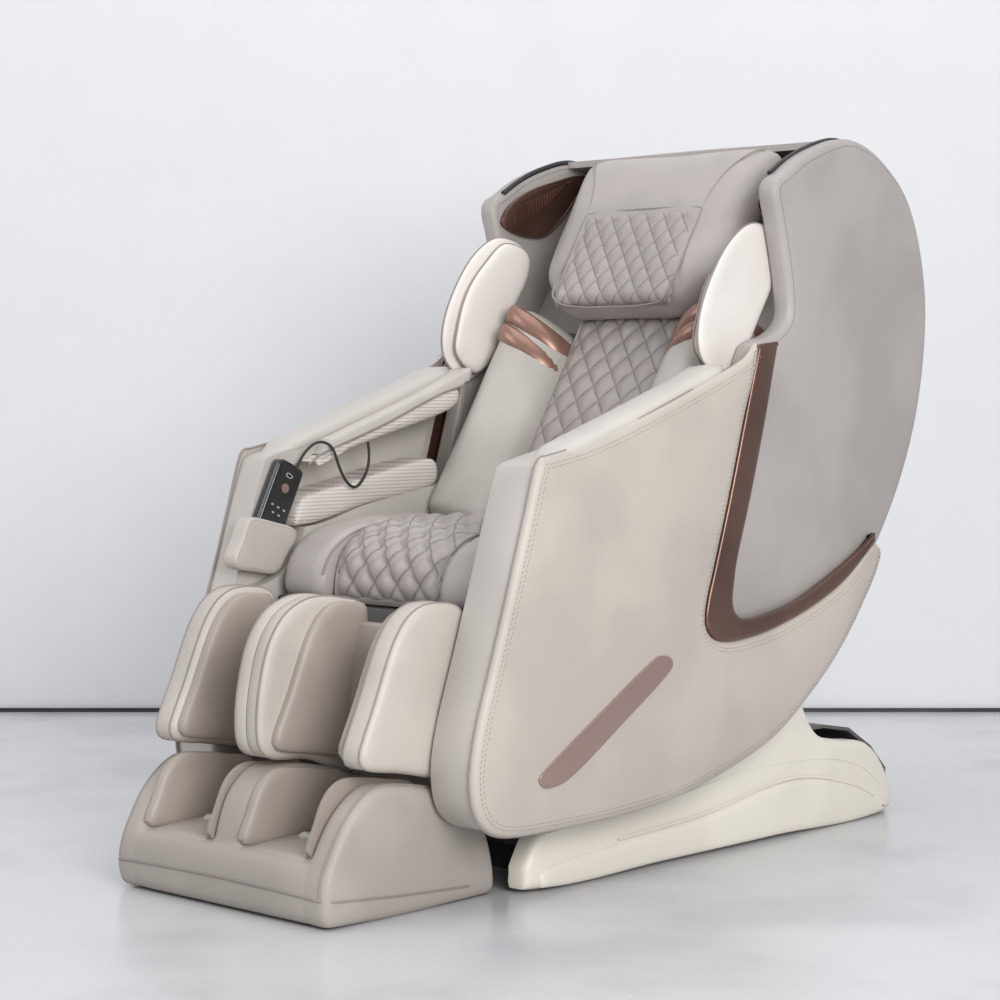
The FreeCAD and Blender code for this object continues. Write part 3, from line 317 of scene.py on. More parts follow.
def padded_slab(outline: np.ndarray, one: Crown, other: Crown, cell: float = 18.0) -> Mesh:
    """Slab with two crowned faces and rounded rims.

    Args:
        outline: Side-view outline rows.
        one: The face on one side.
        other: The face on the other side.
        cell: Spacing of the face's grid.

    Returns:
        Vertices and faces.
    """
    outline = anticlockwise(outline)
    work = bmesh.new()
    rims = []
    for face in (one, other):
        way = 1.0 if face.rim >= (other.rim if face is one else one.rim) else -1.0
        start = len(work.verts)
        steps = [0.0] + [face.width * share for share in (0.08, 0.26, 0.55, 1.0)]
        loops = [[work.verts.new((0.0, *row)) for row in inset(outline, step)] for step in steps]
        for near, far in zip(loops, loops[1:]):
            for index in range(len(near)):
                after = (index + 1) % len(near)
                work.faces.new((near[index], near[after], far[after], far[index]))
        middle = work.faces.new(loops[-1])
        middle.material_index = 1
        low, high = outline.min(axis=0), outline.max(axis=0)
        for axis in (0, 1):
            normal = (0.0, 1.0, 0.0) if axis == 0 else (0.0, 0.0, 1.0)
            for place in np.arange(low[axis] + cell / 2, high[axis], cell):
                inner = [item for item in work.faces if item.material_index == 1]
                parts = inner + list({edge for item in inner for edge in item.edges})
                parts += list({vert for item in inner for vert in item.verts})
                spot = (0.0, place, 0.0) if axis == 0 else (0.0, 0.0, place)
                bmesh.ops.bisect_plane(work, geom=parts, plane_co=spot, plane_no=normal, dist=1e-4)
        for item in work.faces:
            item.material_index = 0
        work.verts.ensure_lookup_table()
        fresh = [work.verts[index] for index in range(start, len(work.verts))]
        flat = np.array([(vert.co.y, vert.co.z) for vert in fresh])
        for vert, place in zip(fresh, face.height(clearance(flat, outline), way)):
            vert.co.x = place
        rims.append(loops[0])
    for index in range(len(outline)):
        after = (index + 1) % len(outline)
        work.faces.new((rims[0][index], rims[0][after], rims[1][after], rims[1][index]))
    work.verts.index_update()
    mesh = ([tuple(vert.co) for vert in work.verts],
            [[vert.index for vert in item.verts] for item in work.faces])
    work.free()
    return mesh


def outwards(line: np.ndarray) -> np.ndarray:
    """Unit normals along a side-view line, to the left of its run.

    Args:
        line: (Y, Z) rows.

    Returns:
        One normal for each row.
    """
    along = np.gradient(line, axis=0)
    along /= np.linalg.norm(along, axis=1, keepdims=True)
    return np.stack([-along[:, 1], along[:, 0]], axis=1)


def ringed(rings: Sequence[Sequence[Triple]]) -> Mesh:
    """Skin over a row of equal rings, closed at both ends.

    Args:
        rings: Rings of points.

    Returns:
        Vertices and faces.
    """
    count = len(rings[0])
    verts = [tuple(point) for ring in rings for point in ring]
    faces: list[Sequence[int]] = []
    for row in range(len(rings) - 1):
        for index in range(count):
            after = (index + 1) % count
            faces.append((row * count + index, row * count + after, (row + 1) * count + after,
                          (row + 1) * count + index))
    faces.append(list(range(count)))
    faces.append(list(range((len(rings) - 1) * count, len(rings) * count)))
    return verts, faces


def stacked(section: Sequence[Pair], levels: Sequence[tuple[float, float, float, float]]) -> Mesh:
    """Form that climbs the backrest's slope, from one (X, depth) section.

    Args:
        section: The section's corners.
        levels: (climb, width scale, depth scale, depth shift) of each ring.

    Returns:
        Vertices and faces.
    """
    base = smooth(section, True, 14.0)
    middle = base.mean(axis=0)
    fine = smooth(levels, False, 16.0)
    rings = []
    for climb, wide, deep, shift in fine:
        ring = []
        for across, depth in (base - middle) * (wide, deep) + middle:
            ring.append((across, *lean(depth + shift, climb)))
        rings.append(ring)
    return ringed(rings)


def slanted(mesh: Mesh) -> Mesh:
    """Lower the inner side of a bolster's upper end.

    Args:
        mesh: A form stacked up the backrest's slope.

    Returns:
        The slanted form.
    """
    foot, head = np.array(lean(0.0, 0.0)), np.array(lean(0.0, 1.0))
    verts = []
    for x, y, z in mesh[0]:
        climb = float(np.dot(np.array((y, z)) - foot, head - foot))
        drop = 0.4 * (BOLSTER_OUTER - abs(x)) * min(1.0, max(0.0, (climb - 200.0) / 200.0))
        verts.append((x, *(np.array((y, z)) - (head - foot) * drop)))
    return verts, mesh[1]


def prism(outline: Sequence[Pair], start: float, end: float) -> Mesh:
    """Straight-sided slab.

    Args:
        outline: Side-view outline.
        start: X of one face.
        end: X of the other.

    Returns:
        Vertices and faces.
    """
    return ringed([[(place, *pair) for pair in outline] for place in (start, end)])


def patch(profile: np.ndarray, half: float, height: Callable[[float, float], float], cell: float, size: Pair,
          centre: float = 0.0) -> tuple[Mesh, list[Pair]]:
    """Quilted patch laid over a side-view profile.

    Args:
        profile: (Y, Z) rows from end to end of the patch, its outer side on the left.
        half: Half of the patch's width.
        height: Rise over the profile for a place across and along, in millimetres.
        cell: Spacing of the mesh.
        size: Width and length of one diamond.
        centre: X of the patch's middle.

    Returns:
        The mesh, and a quilt coordinate for each vertex.
    """
    line = smooth(profile, False, cell)
    outward = outwards(line)
    length = cell * (len(line) - 1)
    columns = max(int(2 * half / cell), 8)
    verts: list[Triple] = []
    coords: list[Pair] = []
    for row in range(len(line)):
        for column in range(columns + 1):
            across = -half + 2 * half * column / columns
            run = row * cell
            rise = height(across, run / length)
            place = line[row] + outward[row] * rise
            verts.append((centre + across, place[0], place[1]))
            coords.append((across / size[0] + run / size[1], across / size[0] - run / size[1]))
    wide = columns + 1
    faces: list[Sequence[int]] = []
    for row in range(len(line) - 1):
        for column in range(columns):
            first = row * wide + column
            faces.append((first, first + 1, first + wide + 1, first + wide))
    return (verts, faces), coords


def diamonds(across: float, run: float, size: Pair, rise: float) -> float:
    """Height of a diamond quilt.

    Args:
        across: Place across.
        run: Place along.
        size: Width and length of one diamond.
        rise: Height of the diamonds' middles.

    Returns:
        The height in millimetres.
    """
    first = abs(math.sin(math.pi * (across / size[0] + run / size[1])))
    second = abs(math.sin(math.pi * (across / size[0] - run / size[1])))
    return rise * (first * second) ** 0.55


# ---------------------------------------------------------------- shaders
class Value:
    """A shader number that can be worked with as in plain arithmetic."""

    def __init__(self, graph: "Graph", socket: bpy.types.NodeSocket) -> None:
        """Keep the socket that carries the number.

        Args:
            graph: The graph that the socket belongs to.
            socket: The output socket.
        """
        self.graph = graph
        self.socket = socket

    def __add__(self, other: "Value | float") -> "Value":
        """Sum.

        Args:
            other: What is added.

        Returns:
            The sum.
        """
        return self.graph.maths("ADD", self, other)

    def __sub__(self, other: "Value | float") -> "Value":
        """Difference.

        Args:
            other: What is taken away.

        Returns:
            The difference.
        """
        return self.graph.maths("SUBTRACT", self, other)

    def __mul__(self, other: "Value | float") -> "Value":
        """Product.

        Args:
            other: The factor.

        Returns:
            The product.
        """
        return self.graph.maths("MULTIPLY", self, other)

    def centred(self) -> "Value":
        """Distance from the nearest whole number.

        Returns:
            A number from 0 to 0.5.
        """
        return self.graph.maths("ABSOLUTE", self.graph.maths("FRACT", self + 0.5) - 0.5)

    def below(self, low: float, high: float) -> "Value":
        """Smooth step down.

        Args:
            low: Where the step starts.
            high: Where it ends.

        Returns:
            1 under the low value and 0 over the high one.
        """
        node = self.graph.node("ShaderNodeMapRange", interpolation_type="SMOOTHSTEP")
        self.graph.join(self.socket, node.inputs["Value"])
        for name, number in (("From Min", low), ("From Max", high), ("To Min", 1.0), ("To Max", 0.0)):
            node.inputs[name].default_value = number
        return Value(self.graph, node.outputs["Result"])


class Graph:
    """The node tree of one material."""

    def __init__(self, material: bpy.types.Material) -> None:
        """Start from the material's own shader.

        Args:
            material: The material.
        """
        material.use_nodes = True
        self.tree = material.node_tree
        self.shader = self.tree.nodes["Principled BSDF"]

    def node(self, kind: str, **settings: object) -> bpy.types.Node:
        """Add a node.

        Args:
            kind: Node type.
            settings: Its properties.

        Returns:
            The node.
        """
        made = self.tree.nodes.new(kind)
        for name, setting in settings.items():
            setattr(made, name, setting)
        return made

    def join(self, source: bpy.types.NodeSocket, target: bpy.types.NodeSocket) -> None:
        """Link two sockets.

        Args:
            source: The output.
            target: The input.
        """
        self.tree.links.new(source, target)

    def maths(self, operation: str, first: "Value | float", second: "Value | float | None" = None) -> Value:
        """Add a Math node.

        Args:
            operation: Its operation.
            first: First input.
            second: Second input, if it takes one.

        Returns:
            The result.
        """
        node = self.node("ShaderNodeMath", operation=operation)
        for index, item in enumerate((first, second)):
            if isinstance(item, Value):
                self.join(item.socket, node.inputs[index])
            elif item is not None:
                node.inputs[index].default_value = item
        return Value(self, node.outputs[0])

    def place(self, output: str = "Object") -> bpy.types.NodeSocket:
        """Texture coordinates.

        Args:
            output: Which ones.

        Returns:
            The socket.
        """
        return self.node("ShaderNodeTexCoord").outputs[output]

    def axes(self, source: bpy.types.NodeSocket) -> list[Value]:
        """Split a vector.

        Args:
            source: The vector's socket.

        Returns:
            Its three numbers.
        """
        node = self.node("ShaderNodeSeparateXYZ")
        self.join(source, node.inputs[0])
        return [Value(self, output) for output in node.outputs]

    def noise(self, scale: float, detail: float = 3.0) -> Value:
        """Noise on the object's coordinates.

        Args:
            scale: Waves to the metre.
            detail: Octaves.

        Returns:
            A number about 0.5.
        """
        node = self.node("ShaderNodeTexNoise")
        node.inputs["Scale"].default_value = scale
        node.inputs["Detail"].default_value = detail
        self.join(self.place(), node.inputs["Vector"])
        return Value(self, node.outputs[0])

    def cells(self, scale: float) -> Value:
        """Cell pattern on the object's coordinates.

        Args:
            scale: Cells to the metre.

        Returns:
            Distance from the cells' middles.
        """
        node = self.node("ShaderNodeTexVoronoi")
        node.inputs["Scale"].default_value = scale
        self.join(self.place(), node.inputs["Vector"])
        return Value(self, node.outputs["Distance"])

    def tint(self, factor: Value, first: object, second: object) -> bpy.types.NodeSocket:
        """Mix two colours.

        Args:
            factor: How much of the second.
            first: A colour or a colour socket.
            second: A colour or a colour socket.

        Returns:
            The mixed colour's socket.
        """
        node = self.node("ShaderNodeMix", data_type="RGBA")
        self.join(factor.socket, node.inputs["Factor"])
        for name, colour in (("A", first), ("B", second)):
            target = [item for item in node.inputs if item.name == name and item.type == "RGBA"][0]
            if isinstance(colour, tuple):
                target.default_value = (*colour, 1.0)
            else:
                self.join(colour, target)
        return [item for item in node.outputs if item.type == "RGBA"][0]

    def bump(self, height: Value, distance: float, strength: float = 1.0) -> None:
        """Bump the shader's normal.

        Args:
            height: The relief.
            distance: Its depth in metres.
            strength: How much of it shows.
        """
        node = self.node("ShaderNodeBump")
        node.inputs["Distance"].default_value = distance
        node.inputs["Strength"].default_value = strength
        self.join(height.socket, node.inputs["Height"])
        self.join(node.outputs[0], self.shader.inputs["Normal"])


def darker(colour: Triple, share: float) -> Triple:
    """Darken a colour.

    Args:
        colour: Linear colour.
        share: What is left of it.

    Returns:
        The darker colour.
    """
    return (colour[0] * share, colour[1] * share, colour[2] * share)


class Workshop:
    """Makes materials and pieces, and ties each piece to its body."""

    def __init__(self, frame: dict) -> None:
        """Keep the frame.

        Args:
            frame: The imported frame.
        """
        self.frame = frame
        self.materials: dict[str, bpy.types.Material] = {}
        self.slots = {item["node"]: item["material_slot"] for item in frame["record"]["subparts"]}

    def material(self, finish: Finish) -> bpy.types.Material:
        """The material of a finish, made once.

        Args:
            finish: The finish.

        Returns:
            Its material.
        """
        if finish.name in self.materials:
            return self.materials[finish.name]
        made = bpy.data.materials.new(finish.name)
        graph = Graph(made)
        shader = graph.shader
        shader.inputs["Metallic"].default_value = finish.metallic
        shader.inputs["Coat Weight"].default_value = finish.coat
        shader.inputs["Coat Roughness"].default_value = 0.2
        drift = graph.noise(5.0, 2.0)
        colour = graph.tint(drift.below(0.62, 0.38), finish.colour, finish.shade)
        fine = graph.noise(1000.0 / finish.grain / 2.5, 4.0)
        relief = fine
        if finish.kind in (Kind.LEATHER, Kind.QUILT, Kind.PERFORATED):
            pebble = graph.cells(1000.0 / finish.grain)
            relief = pebble * 0.7 + fine * 0.3 + graph.noise(38.0, 3.0) * 2.2
            pore = pebble.below(0.12, 0.5)
            colour = graph.tint(pore * 0.16, colour, darker(finish.shade, 0.82))
        if finish.kind is Kind.QUILT:
            first, second, _ = graph.axes(graph.place("UV"))
            seam = graph.maths("MINIMUM", first.centred(), second.centred())
            # painted shade: the creases along the quilt's seams are darkened towards half of the shade colour
            colour = graph.tint(seam.below(0.0, 0.085) * 0.62, colour, darker(finish.shade, 0.5))
            dash = graph.maths("MAXIMUM", (first * 7.0).centred().below(0.28, 0.3),
                               (second * 7.0).centred().below(0.28, 0.3))
            colour = graph.tint(dash * seam.below(0.008, 0.016) * 0.55, colour, THREAD.colour)
            relief = relief + seam.below(0.0, 0.03) * -6.0
        if finish.kind is Kind.PERFORATED:
            _, ahead, up = graph.axes(graph.place())
            row = up * 165.0
            shift = graph.maths("FLOOR", row) * 0.5
            hole = graph.maths("SQRT", (ahead * 165.0 + shift).centred() * (ahead * 165.0 + shift).centred()
                               + row.centred() * row.centred())
            # painted shade: each perforation hole is painted as a near-black dot for the shade inside it
            colour = graph.tint(hole.below(0.13, 0.24), colour, darker(finish.shade, 0.22))
            relief = relief + hole.below(0.1, 0.3) * -4.0
        if finish.kind is Kind.METAL:
            relief = fine * 0.5 + graph.noise(1000.0 / finish.grain, 2.0) * 0.5
        if finish.kind is Kind.FLOOR:
            streak = graph.noise(2.2, 6.0)
            colour = graph.tint(streak.below(0.68, 0.45), finish.colour, finish.shade)
        graph.join(colour, shader.inputs["Base Color"])
        rough = (fine - 0.5) * 0.16 + (drift - 0.5) * 0.1 + finish.roughness
        graph.join(rough.socket, shader.inputs["Roughness"])
        graph.bump(relief, finish.depth * MM)
        self.materials[finish.name] = made
        return made

    def piece(self, name: str, mesh: Mesh, finish: Finish, body: str, nodes: Sequence[str] = (),
              slot: str = "",
              coords: Sequence[Pair] | None = None, levels: int = 0) -> bpy.types.Object:
        """Make a piece and tie it to its body.

        Args:
            name: Its name.
            mesh: Vertices in millimetres, and faces.
            finish: Its finish.
            body: The body that it rides on.
            nodes: CAD nodes that it stands for.
            slot: The record's material slot, if it stands for no node.
            coords: Quilt coordinates of the vertices.
            levels: Subdivision levels.

        Returns:
            The piece.
        """
        verts, faces = mesh
        data = bpy.data.meshes.new(name)
        data.from_pydata([(x * MM, y * MM, z * MM) for x, y, z in verts], [], [list(item) for item in faces])
        if coords:
            layer = data.uv_layers.new(name="quilt")
            for loop in data.loops:
                layer.data[loop.index].uv = coords[loop.vertex_index]
        work = bmesh.new()
        work.from_mesh(data)
        bmesh.ops.recalc_face_normals(work, faces=work.faces)
        work.to_mesh(data)
        work.free()
        made = bpy.data.objects.new(name, data)
        bpy.context.collection.objects.link(made)
        if levels:
            subdivide = made.modifiers.new("Smooth", "SUBSURF")
            subdivide.levels = subdivide.render_levels = levels
            self.settle(made)
        self.dress(made, finish, body, nodes, slot)
        return made

    def dress(self, made: bpy.types.Object, finish: Finish, body: str, nodes: Sequence[str] = (),
              slot: str = "") -> None:
        """Give a piece its finish, shading, body and CAD nodes.

        Args:
            made: The piece.
            finish: Its finish.
            body: The body that it rides on.
            nodes: CAD nodes that it stands for.
            slot: The record's material slot, if it stands for no node; not used.
        """
        made.data.materials.clear()
        made.data.materials.append(self.material(finish))
        for polygon in made.data.polygons:
            polygon.use_smooth = True
        made.data.set_sharp_from_angle(angle=math.radians(42.0))
        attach(made, body)
        if nodes:
            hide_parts(*nodes)

    @staticmethod
    def settle(made: bpy.types.Object) -> None:
        """Apply a piece's modifiers to its mesh.

        Args:
            made: The piece.
        """
        bpy.context.view_layer.update()
        graph = bpy.context.evaluated_depsgraph_get()
        fresh = bpy.data.meshes.new_from_object(made.evaluated_get(graph))
        made.modifiers.clear()
        made.data = fresh

    def tube(self, name: str, line: np.ndarray, radius: float, finish: Finish, body: str, slot: str,
             closed: bool = False, nodes: Sequence[str] = ()) -> bpy.types.Object:
        """Round bead along a line, such as piping.

        Args:
            name: Its name.
            line: Points in millimetres.
            radius: The bead's radius.
            finish: Its finish.
            body: The body that it rides on.
            slot: The record's material slot.
            closed: Whether the line returns to its start.
            nodes: CAD nodes that it stands for.

        Returns:
            The piece.
        """
        curve = bpy.data.curves.new(name, "CURVE")
        curve.dimensions = "3D"
        curve.bevel_depth = radius * MM
        curve.bevel_resolution = 2
        curve.use_fill_caps = not closed
        spline = curve.splines.new("POLY")
        spline.points.add(len(line) - 1)
        for point, place in zip(spline.points, line):
            point.co = (*(place * MM), 1.0)
        spline.use_cyclic_u = closed
        holder = bpy.data.objects.new(name + "_line", curve)
        bpy.context.collection.objects.link(holder)
        bpy.context.view_layer.update()
        data = bpy.data.meshes.new_from_object(holder.evaluated_get(bpy.context.evaluated_depsgraph_get()))
        bpy.data.objects.remove(holder)
        made = bpy.data.objects.new(name, data)
        bpy.context.collection.objects.link(made)
        self.dress(made, finish, body, nodes, slot)
        return made

    def stitches(self, name: str, line: np.ndarray, body: str, slot: str, finish: Finish = THREAD,
                 pitch: float = 7.0, closed: bool = False) -> bpy.types.Object:
        """Row of stitches along a line.

        Args:
            name: Its name.
            line: Points in millimetres.
            body: The body that it rides on.
            slot: The record's material slot.
            finish: The thread's finish.
            pitch: Distance between stitches in millimetres.
            closed: Whether the line returns to its start.

        Returns:
            The piece.
        """
        data = bpy.data.meshes.new(name)
        count = len(line)
        edges = [(index, (index + 1) % count) for index in range(count if closed else count - 1)]
        data.from_pydata([tuple(place * MM) for place in line], edges, [])
        made = bpy.data.objects.new(name, data)
        bpy.context.collection.objects.link(made)
        repeat = made.modifiers.new("Repeat", "NODES")
        repeat.node_group = self.stitch_tree()
        sockets = {item.name: item.identifier for item in repeat.node_group.interface.items_tree
                   if item.item_type == "SOCKET" and item.in_out == "INPUT"}
        repeat[sockets["Pitch"]] = pitch * MM
        repeat[sockets["Thickness"]] = 0.55 * MM
        repeat[sockets["Finish"]] = self.material(finish)
        self.settle(made)
        self.dress(made, finish, body, (), slot)
        return made

    def stitch_tree(self) -> bpy.types.NodeTree:
        """Geometry tree that lays one bead per stitch along a line.

        Returns:
            The tree, made once.
        """
        if "stitch_row" in bpy.data.node_groups:
            return bpy.data.node_groups["stitch_row"]
        tree = bpy.data.node_groups.new("stitch_row", "GeometryNodeTree")
        for name, way, kind in (("Geometry", "INPUT", "NodeSocketGeometry"),
                                ("Pitch", "INPUT", "NodeSocketFloat"),
                                ("Thickness", "INPUT", "NodeSocketFloat"),
                                ("Finish", "INPUT", "NodeSocketMaterial"),
                                ("Geometry", "OUTPUT", "NodeSocketGeometry")):
            tree.interface.new_socket(name=name, in_out=way, socket_type=kind)
        kinds = ("NodeGroupInput", "GeometryNodeMeshToCurve", "GeometryNodeResampleCurve",
                 "GeometryNodeInputTangent",
                 "FunctionNodeAlignRotationToVector", "GeometryNodeMeshIcoSphere",
                 "GeometryNodeInstanceOnPoints",
                 "GeometryNodeRealizeInstances", "GeometryNodeSetMaterial", "NodeGroupOutput",
                 "ShaderNodeCombineXYZ",
                 "ShaderNodeMath")
        (given, curve, spaced, tangent, align, bead, instance, real, coat, out, scale,
         long) = map(tree.nodes.new, kinds)
        spaced.mode = "LENGTH"
        align.axis = "X"
        long.operation = "MULTIPLY"
        long.inputs[1].default_value = 0.36
        bead.inputs["Radius"].default_value = 1.0
        bead.inputs["Subdivisions"].default_value = 1
        for source, target in (
                (given.outputs["Geometry"], curve.inputs[0]), (curve.outputs[0], spaced.inputs["Curve"]),
                (given.outputs["Pitch"], spaced.inputs["Length"]), (given.outputs["Pitch"], long.inputs[0]),
                (long.outputs[0], scale.inputs["X"]), (given.outputs["Thickness"], scale.inputs["Y"]),
                (given.outputs["Thickness"], scale.inputs["Z"]), (tangent.outputs[0], align.inputs["Vector"]),
                (spaced.outputs[0], instance.inputs["Points"]),
                (bead.outputs["Mesh"], instance.inputs["Instance"]),
                (align.outputs[0], instance.inputs["Rotation"]), (scale.outputs[0], instance.inputs["Scale"]),
                (instance.outputs[0], real.inputs[0]), (real.outputs[0], coat.inputs["Geometry"]),
                (given.outputs["Finish"], coat.inputs["Material"]), (coat.outputs[0], out.inputs[0])):
            tree.links.new(source, target)
        return tree

    def carve(self, made: bpy.types.Object, cutter: Mesh) -> None:
        """Take a shape out of a piece.

        Args:
            made: The piece.
            cutter: The shape.
        """
        data = bpy.data.meshes.new("cutter")
        data.from_pydata([(x * MM, y * MM, z * MM) for x, y, z in cutter[0]], [],
                         [list(item) for item in cutter[1]])
        work = bmesh.new()
        work.from_mesh(data)
        bmesh.ops.recalc_face_normals(work, faces=work.faces)
        work.to_mesh(data)
        work.free()
        tool = bpy.data.objects.new("cutter", data)
        bpy.context.collection.objects.link(tool)
        cut = made.modifiers.new("Cut", "BOOLEAN")
        cut.operation = "DIFFERENCE"
        cut.solver = "EXACT"
        cut.object = tool
        self.settle(made)
        bpy.data.objects.remove(tool)

    def melt(self, made: bpy.types.Object, voxel: float, rounds: int) -> None:
        """Fuse a piece's shells into one skin and soften its creases.

        Args:
            made: The piece.
            voxel: Size of the new skin's faces in millimetres.
            rounds: Rounds of softening.
        """
        skin = made.modifiers.new("Skin", "REMESH")
        skin.mode = "VOXEL"
        skin.voxel_size = voxel * MM
        soft = made.modifiers.new("Soft", "SMOOTH")
        soft.factor = 0.6
        soft.iterations = rounds
        self.settle(made)

    def inflate(self, made: bpy.types.Object, voxel: float, cap: float) -> None:
        """Swell a padded piece under air pressure.

        Args:
            made: The piece.
            voxel: Size of its faces in millimetres.
            cap: How far a point may move, in millimetres.
        """
        self.melt(made, voxel, 2)
        rest = np.array([vert.co for vert in made.data.vertices])
        cloth = made.modifiers.new("Air", "CLOTH")
        cloth.settings.use_pressure = True
        cloth.settings.uniform_pressure_force = 4.0
        cloth.settings.effector_weights.gravity = 0.0
        cloth.settings.quality = 4
        scene = bpy.context.scene
        for moment in range(1, 21):
            scene.frame_set(moment)
            bpy.context.view_layer.update()
        graph = bpy.context.evaluated_depsgraph_get()
        swollen = made.evaluated_get(graph).to_mesh()
        moved = np.array([vert.co for vert in swollen.vertices]) - rest
        far = np.linalg.norm(moved, axis=1, keepdims=True)
        moved *= np.minimum(1.0, cap * MM / np.maximum(far, 1e-9))
        made.evaluated_get(graph).to_mesh_clear()
        made.modifiers.clear()
        for vert, place in zip(made.data.vertices, rest + moved):
            vert.co = place
        scene.frame_set(1)


# ---------------------------------------------------------------- base
PANEL_SWEEP = [(-366, 676), (-374, 666), (-400, 584), (-433, 482), (-468, 380), (-498, 295), (-513, 235),
               (-515, 190),
               (-503, 150), (-476, 124), (-430, 112), (-327, 110), (-186, 115), (-37, 131), (94, 161),
               (203, 198),
               (288, 249), (375, 315), (450, 395), (512, 488)]
TRIM_OUTER = [(486, 508), (398, 449), (310, 412), (196, 381), (100, 368), (50, 370), (24, 381), (11, 402),
              (15, 435), (33, 487), (71, 599), (111, 728), (150, 851)]
TRIM_INNER = [(490, 526), (458, 505), (368, 463), (252, 419), (154, 402), (112, 402), (90, 411), (80, 430),
              (83, 462), (91, 500), (125, 597), (165, 727), (200, 857)]
ARM_TOP_LINE = [(116, 828), (-15, 778), (-140, 735), (-259, 697), (-350, 678)]
ARM_BODY = [(-356, 667), (-368, 660), (-397, 584), (-430, 482), (-465, 380), (-495, 295), (-510, 235),
            (-511, 190),
            (-499, 152), (-472, 128), (-430, 117), (-385, 118), (-390, 250), (-396, 385), (-380, 394),
            (-30, 394),
            (0, 470), (35, 600), (70, 725), (104, 806), (100, 816), (-15, 772), (-140, 729), (-259, 690),
            (-335, 672)]
SLOT = [(-325, 548), (-160, 580), (5, 608), (60, 618), (80, 700), (100, 790), (62, 781), (-100, 725),
        (-272, 664),
        (-320, 640), (-336, 600)]
RECESS = [(-478, 464), (-372, 464), (-316, 528), (-268, 655), (-246, 722), (-402, 722), (-484, 560)]
PAD_UPPER = [(-288, 656), (-272, 663), (-100, 724), (62, 780), (69, 758), (40, 739), (-120, 697), (-270, 658)]
PAD_LOWER = [(-324, 549), (-160, 580), (5, 609), (12, 645), (-10, 655), (-200, 618), (-300, 598), (-321, 580)]


@dataclass
class Base:
    """The floor unit's moulded covers."""

    shop: Workshop
    inner: float = 243.0

    def build(self) -> None:
        """Make both side covers."""
        foot = [(-335, 6), (-331, 45), (-289, 97), (-160, 126), (60, 158), (190, 228), (240, 322), (300, 346),
                (350, 321), (378, 252), (433, 172), (510, 150), (590, 136), (645, 88), (670, 24), (671, 6)]
        line = smooth([(-330, 8), (-332, 30), *foot[1:-1],
                       (668, 10)] + [(x, 6) for x in (600, 400, 200, 0, -200)], True, 12)
        sweep = smooth([(-300, 8), (-296, 36), (-120, 52), (140, 68), (330, 98), (470, 88), (600, 50),
                        (640, 9),
                        (300, 7), (0, 7)], True, 12)
        ridges = ([(-280, 92), (-150, 100), (40, 110), (200, 128), (330, 132), (470, 122), (560, 98),
                   (625, 60)],
                  [(-120, 60), (98, 72), (292, 99), (400, 98), (533, 68), (600, 40)])
        for name, side in SIDES:
            cover = padded_slab(line, Crown(side * 266.0, 13.0, 4.0, 70.0, 11.0),
                                Crown(side * self.inner, 0.0), 22.0)
            self.shop.piece(f"base_cover_skin_{name}", cover, CREAM, "base", [f"base_cover_{name}"])
            wing = padded_slab(sweep, Crown(side * 281.0, 6.0, 1.0, 40.0, 12.0), Crown(side * 262.0, 0.0),
                               22.0)
            self.shop.piece(f"base_cover_wing_{name}", wing, CREAM, "base", slot="cream_cover")
            for index, ridge in enumerate(ridges):
                run = smooth(ridge, False, 10)
                level = np.full((len(run), 1), side * (282.0 if index == 0 else 287.4))
                self.shop.tube(f"base_ridge_{index}_{name}", np.hstack([level, run]), 2.2, CREAM, "base",
                               "cream_cover")


# ---------------------------------------------------------------- arms and seat
def panel_face(points: np.ndarray) -> np.ndarray:
    """How far the front of the side panels turns in.

    Args:
        points: (Y, Z) rows.

    Returns:
        The shift towards the middle for each row.
    """
    share = np.clip((-60.0 - points[:, 0]) / 380.0, 0.0, 1.0)
    return 16.0 * share * share * (3.0 - 2.0 * share)


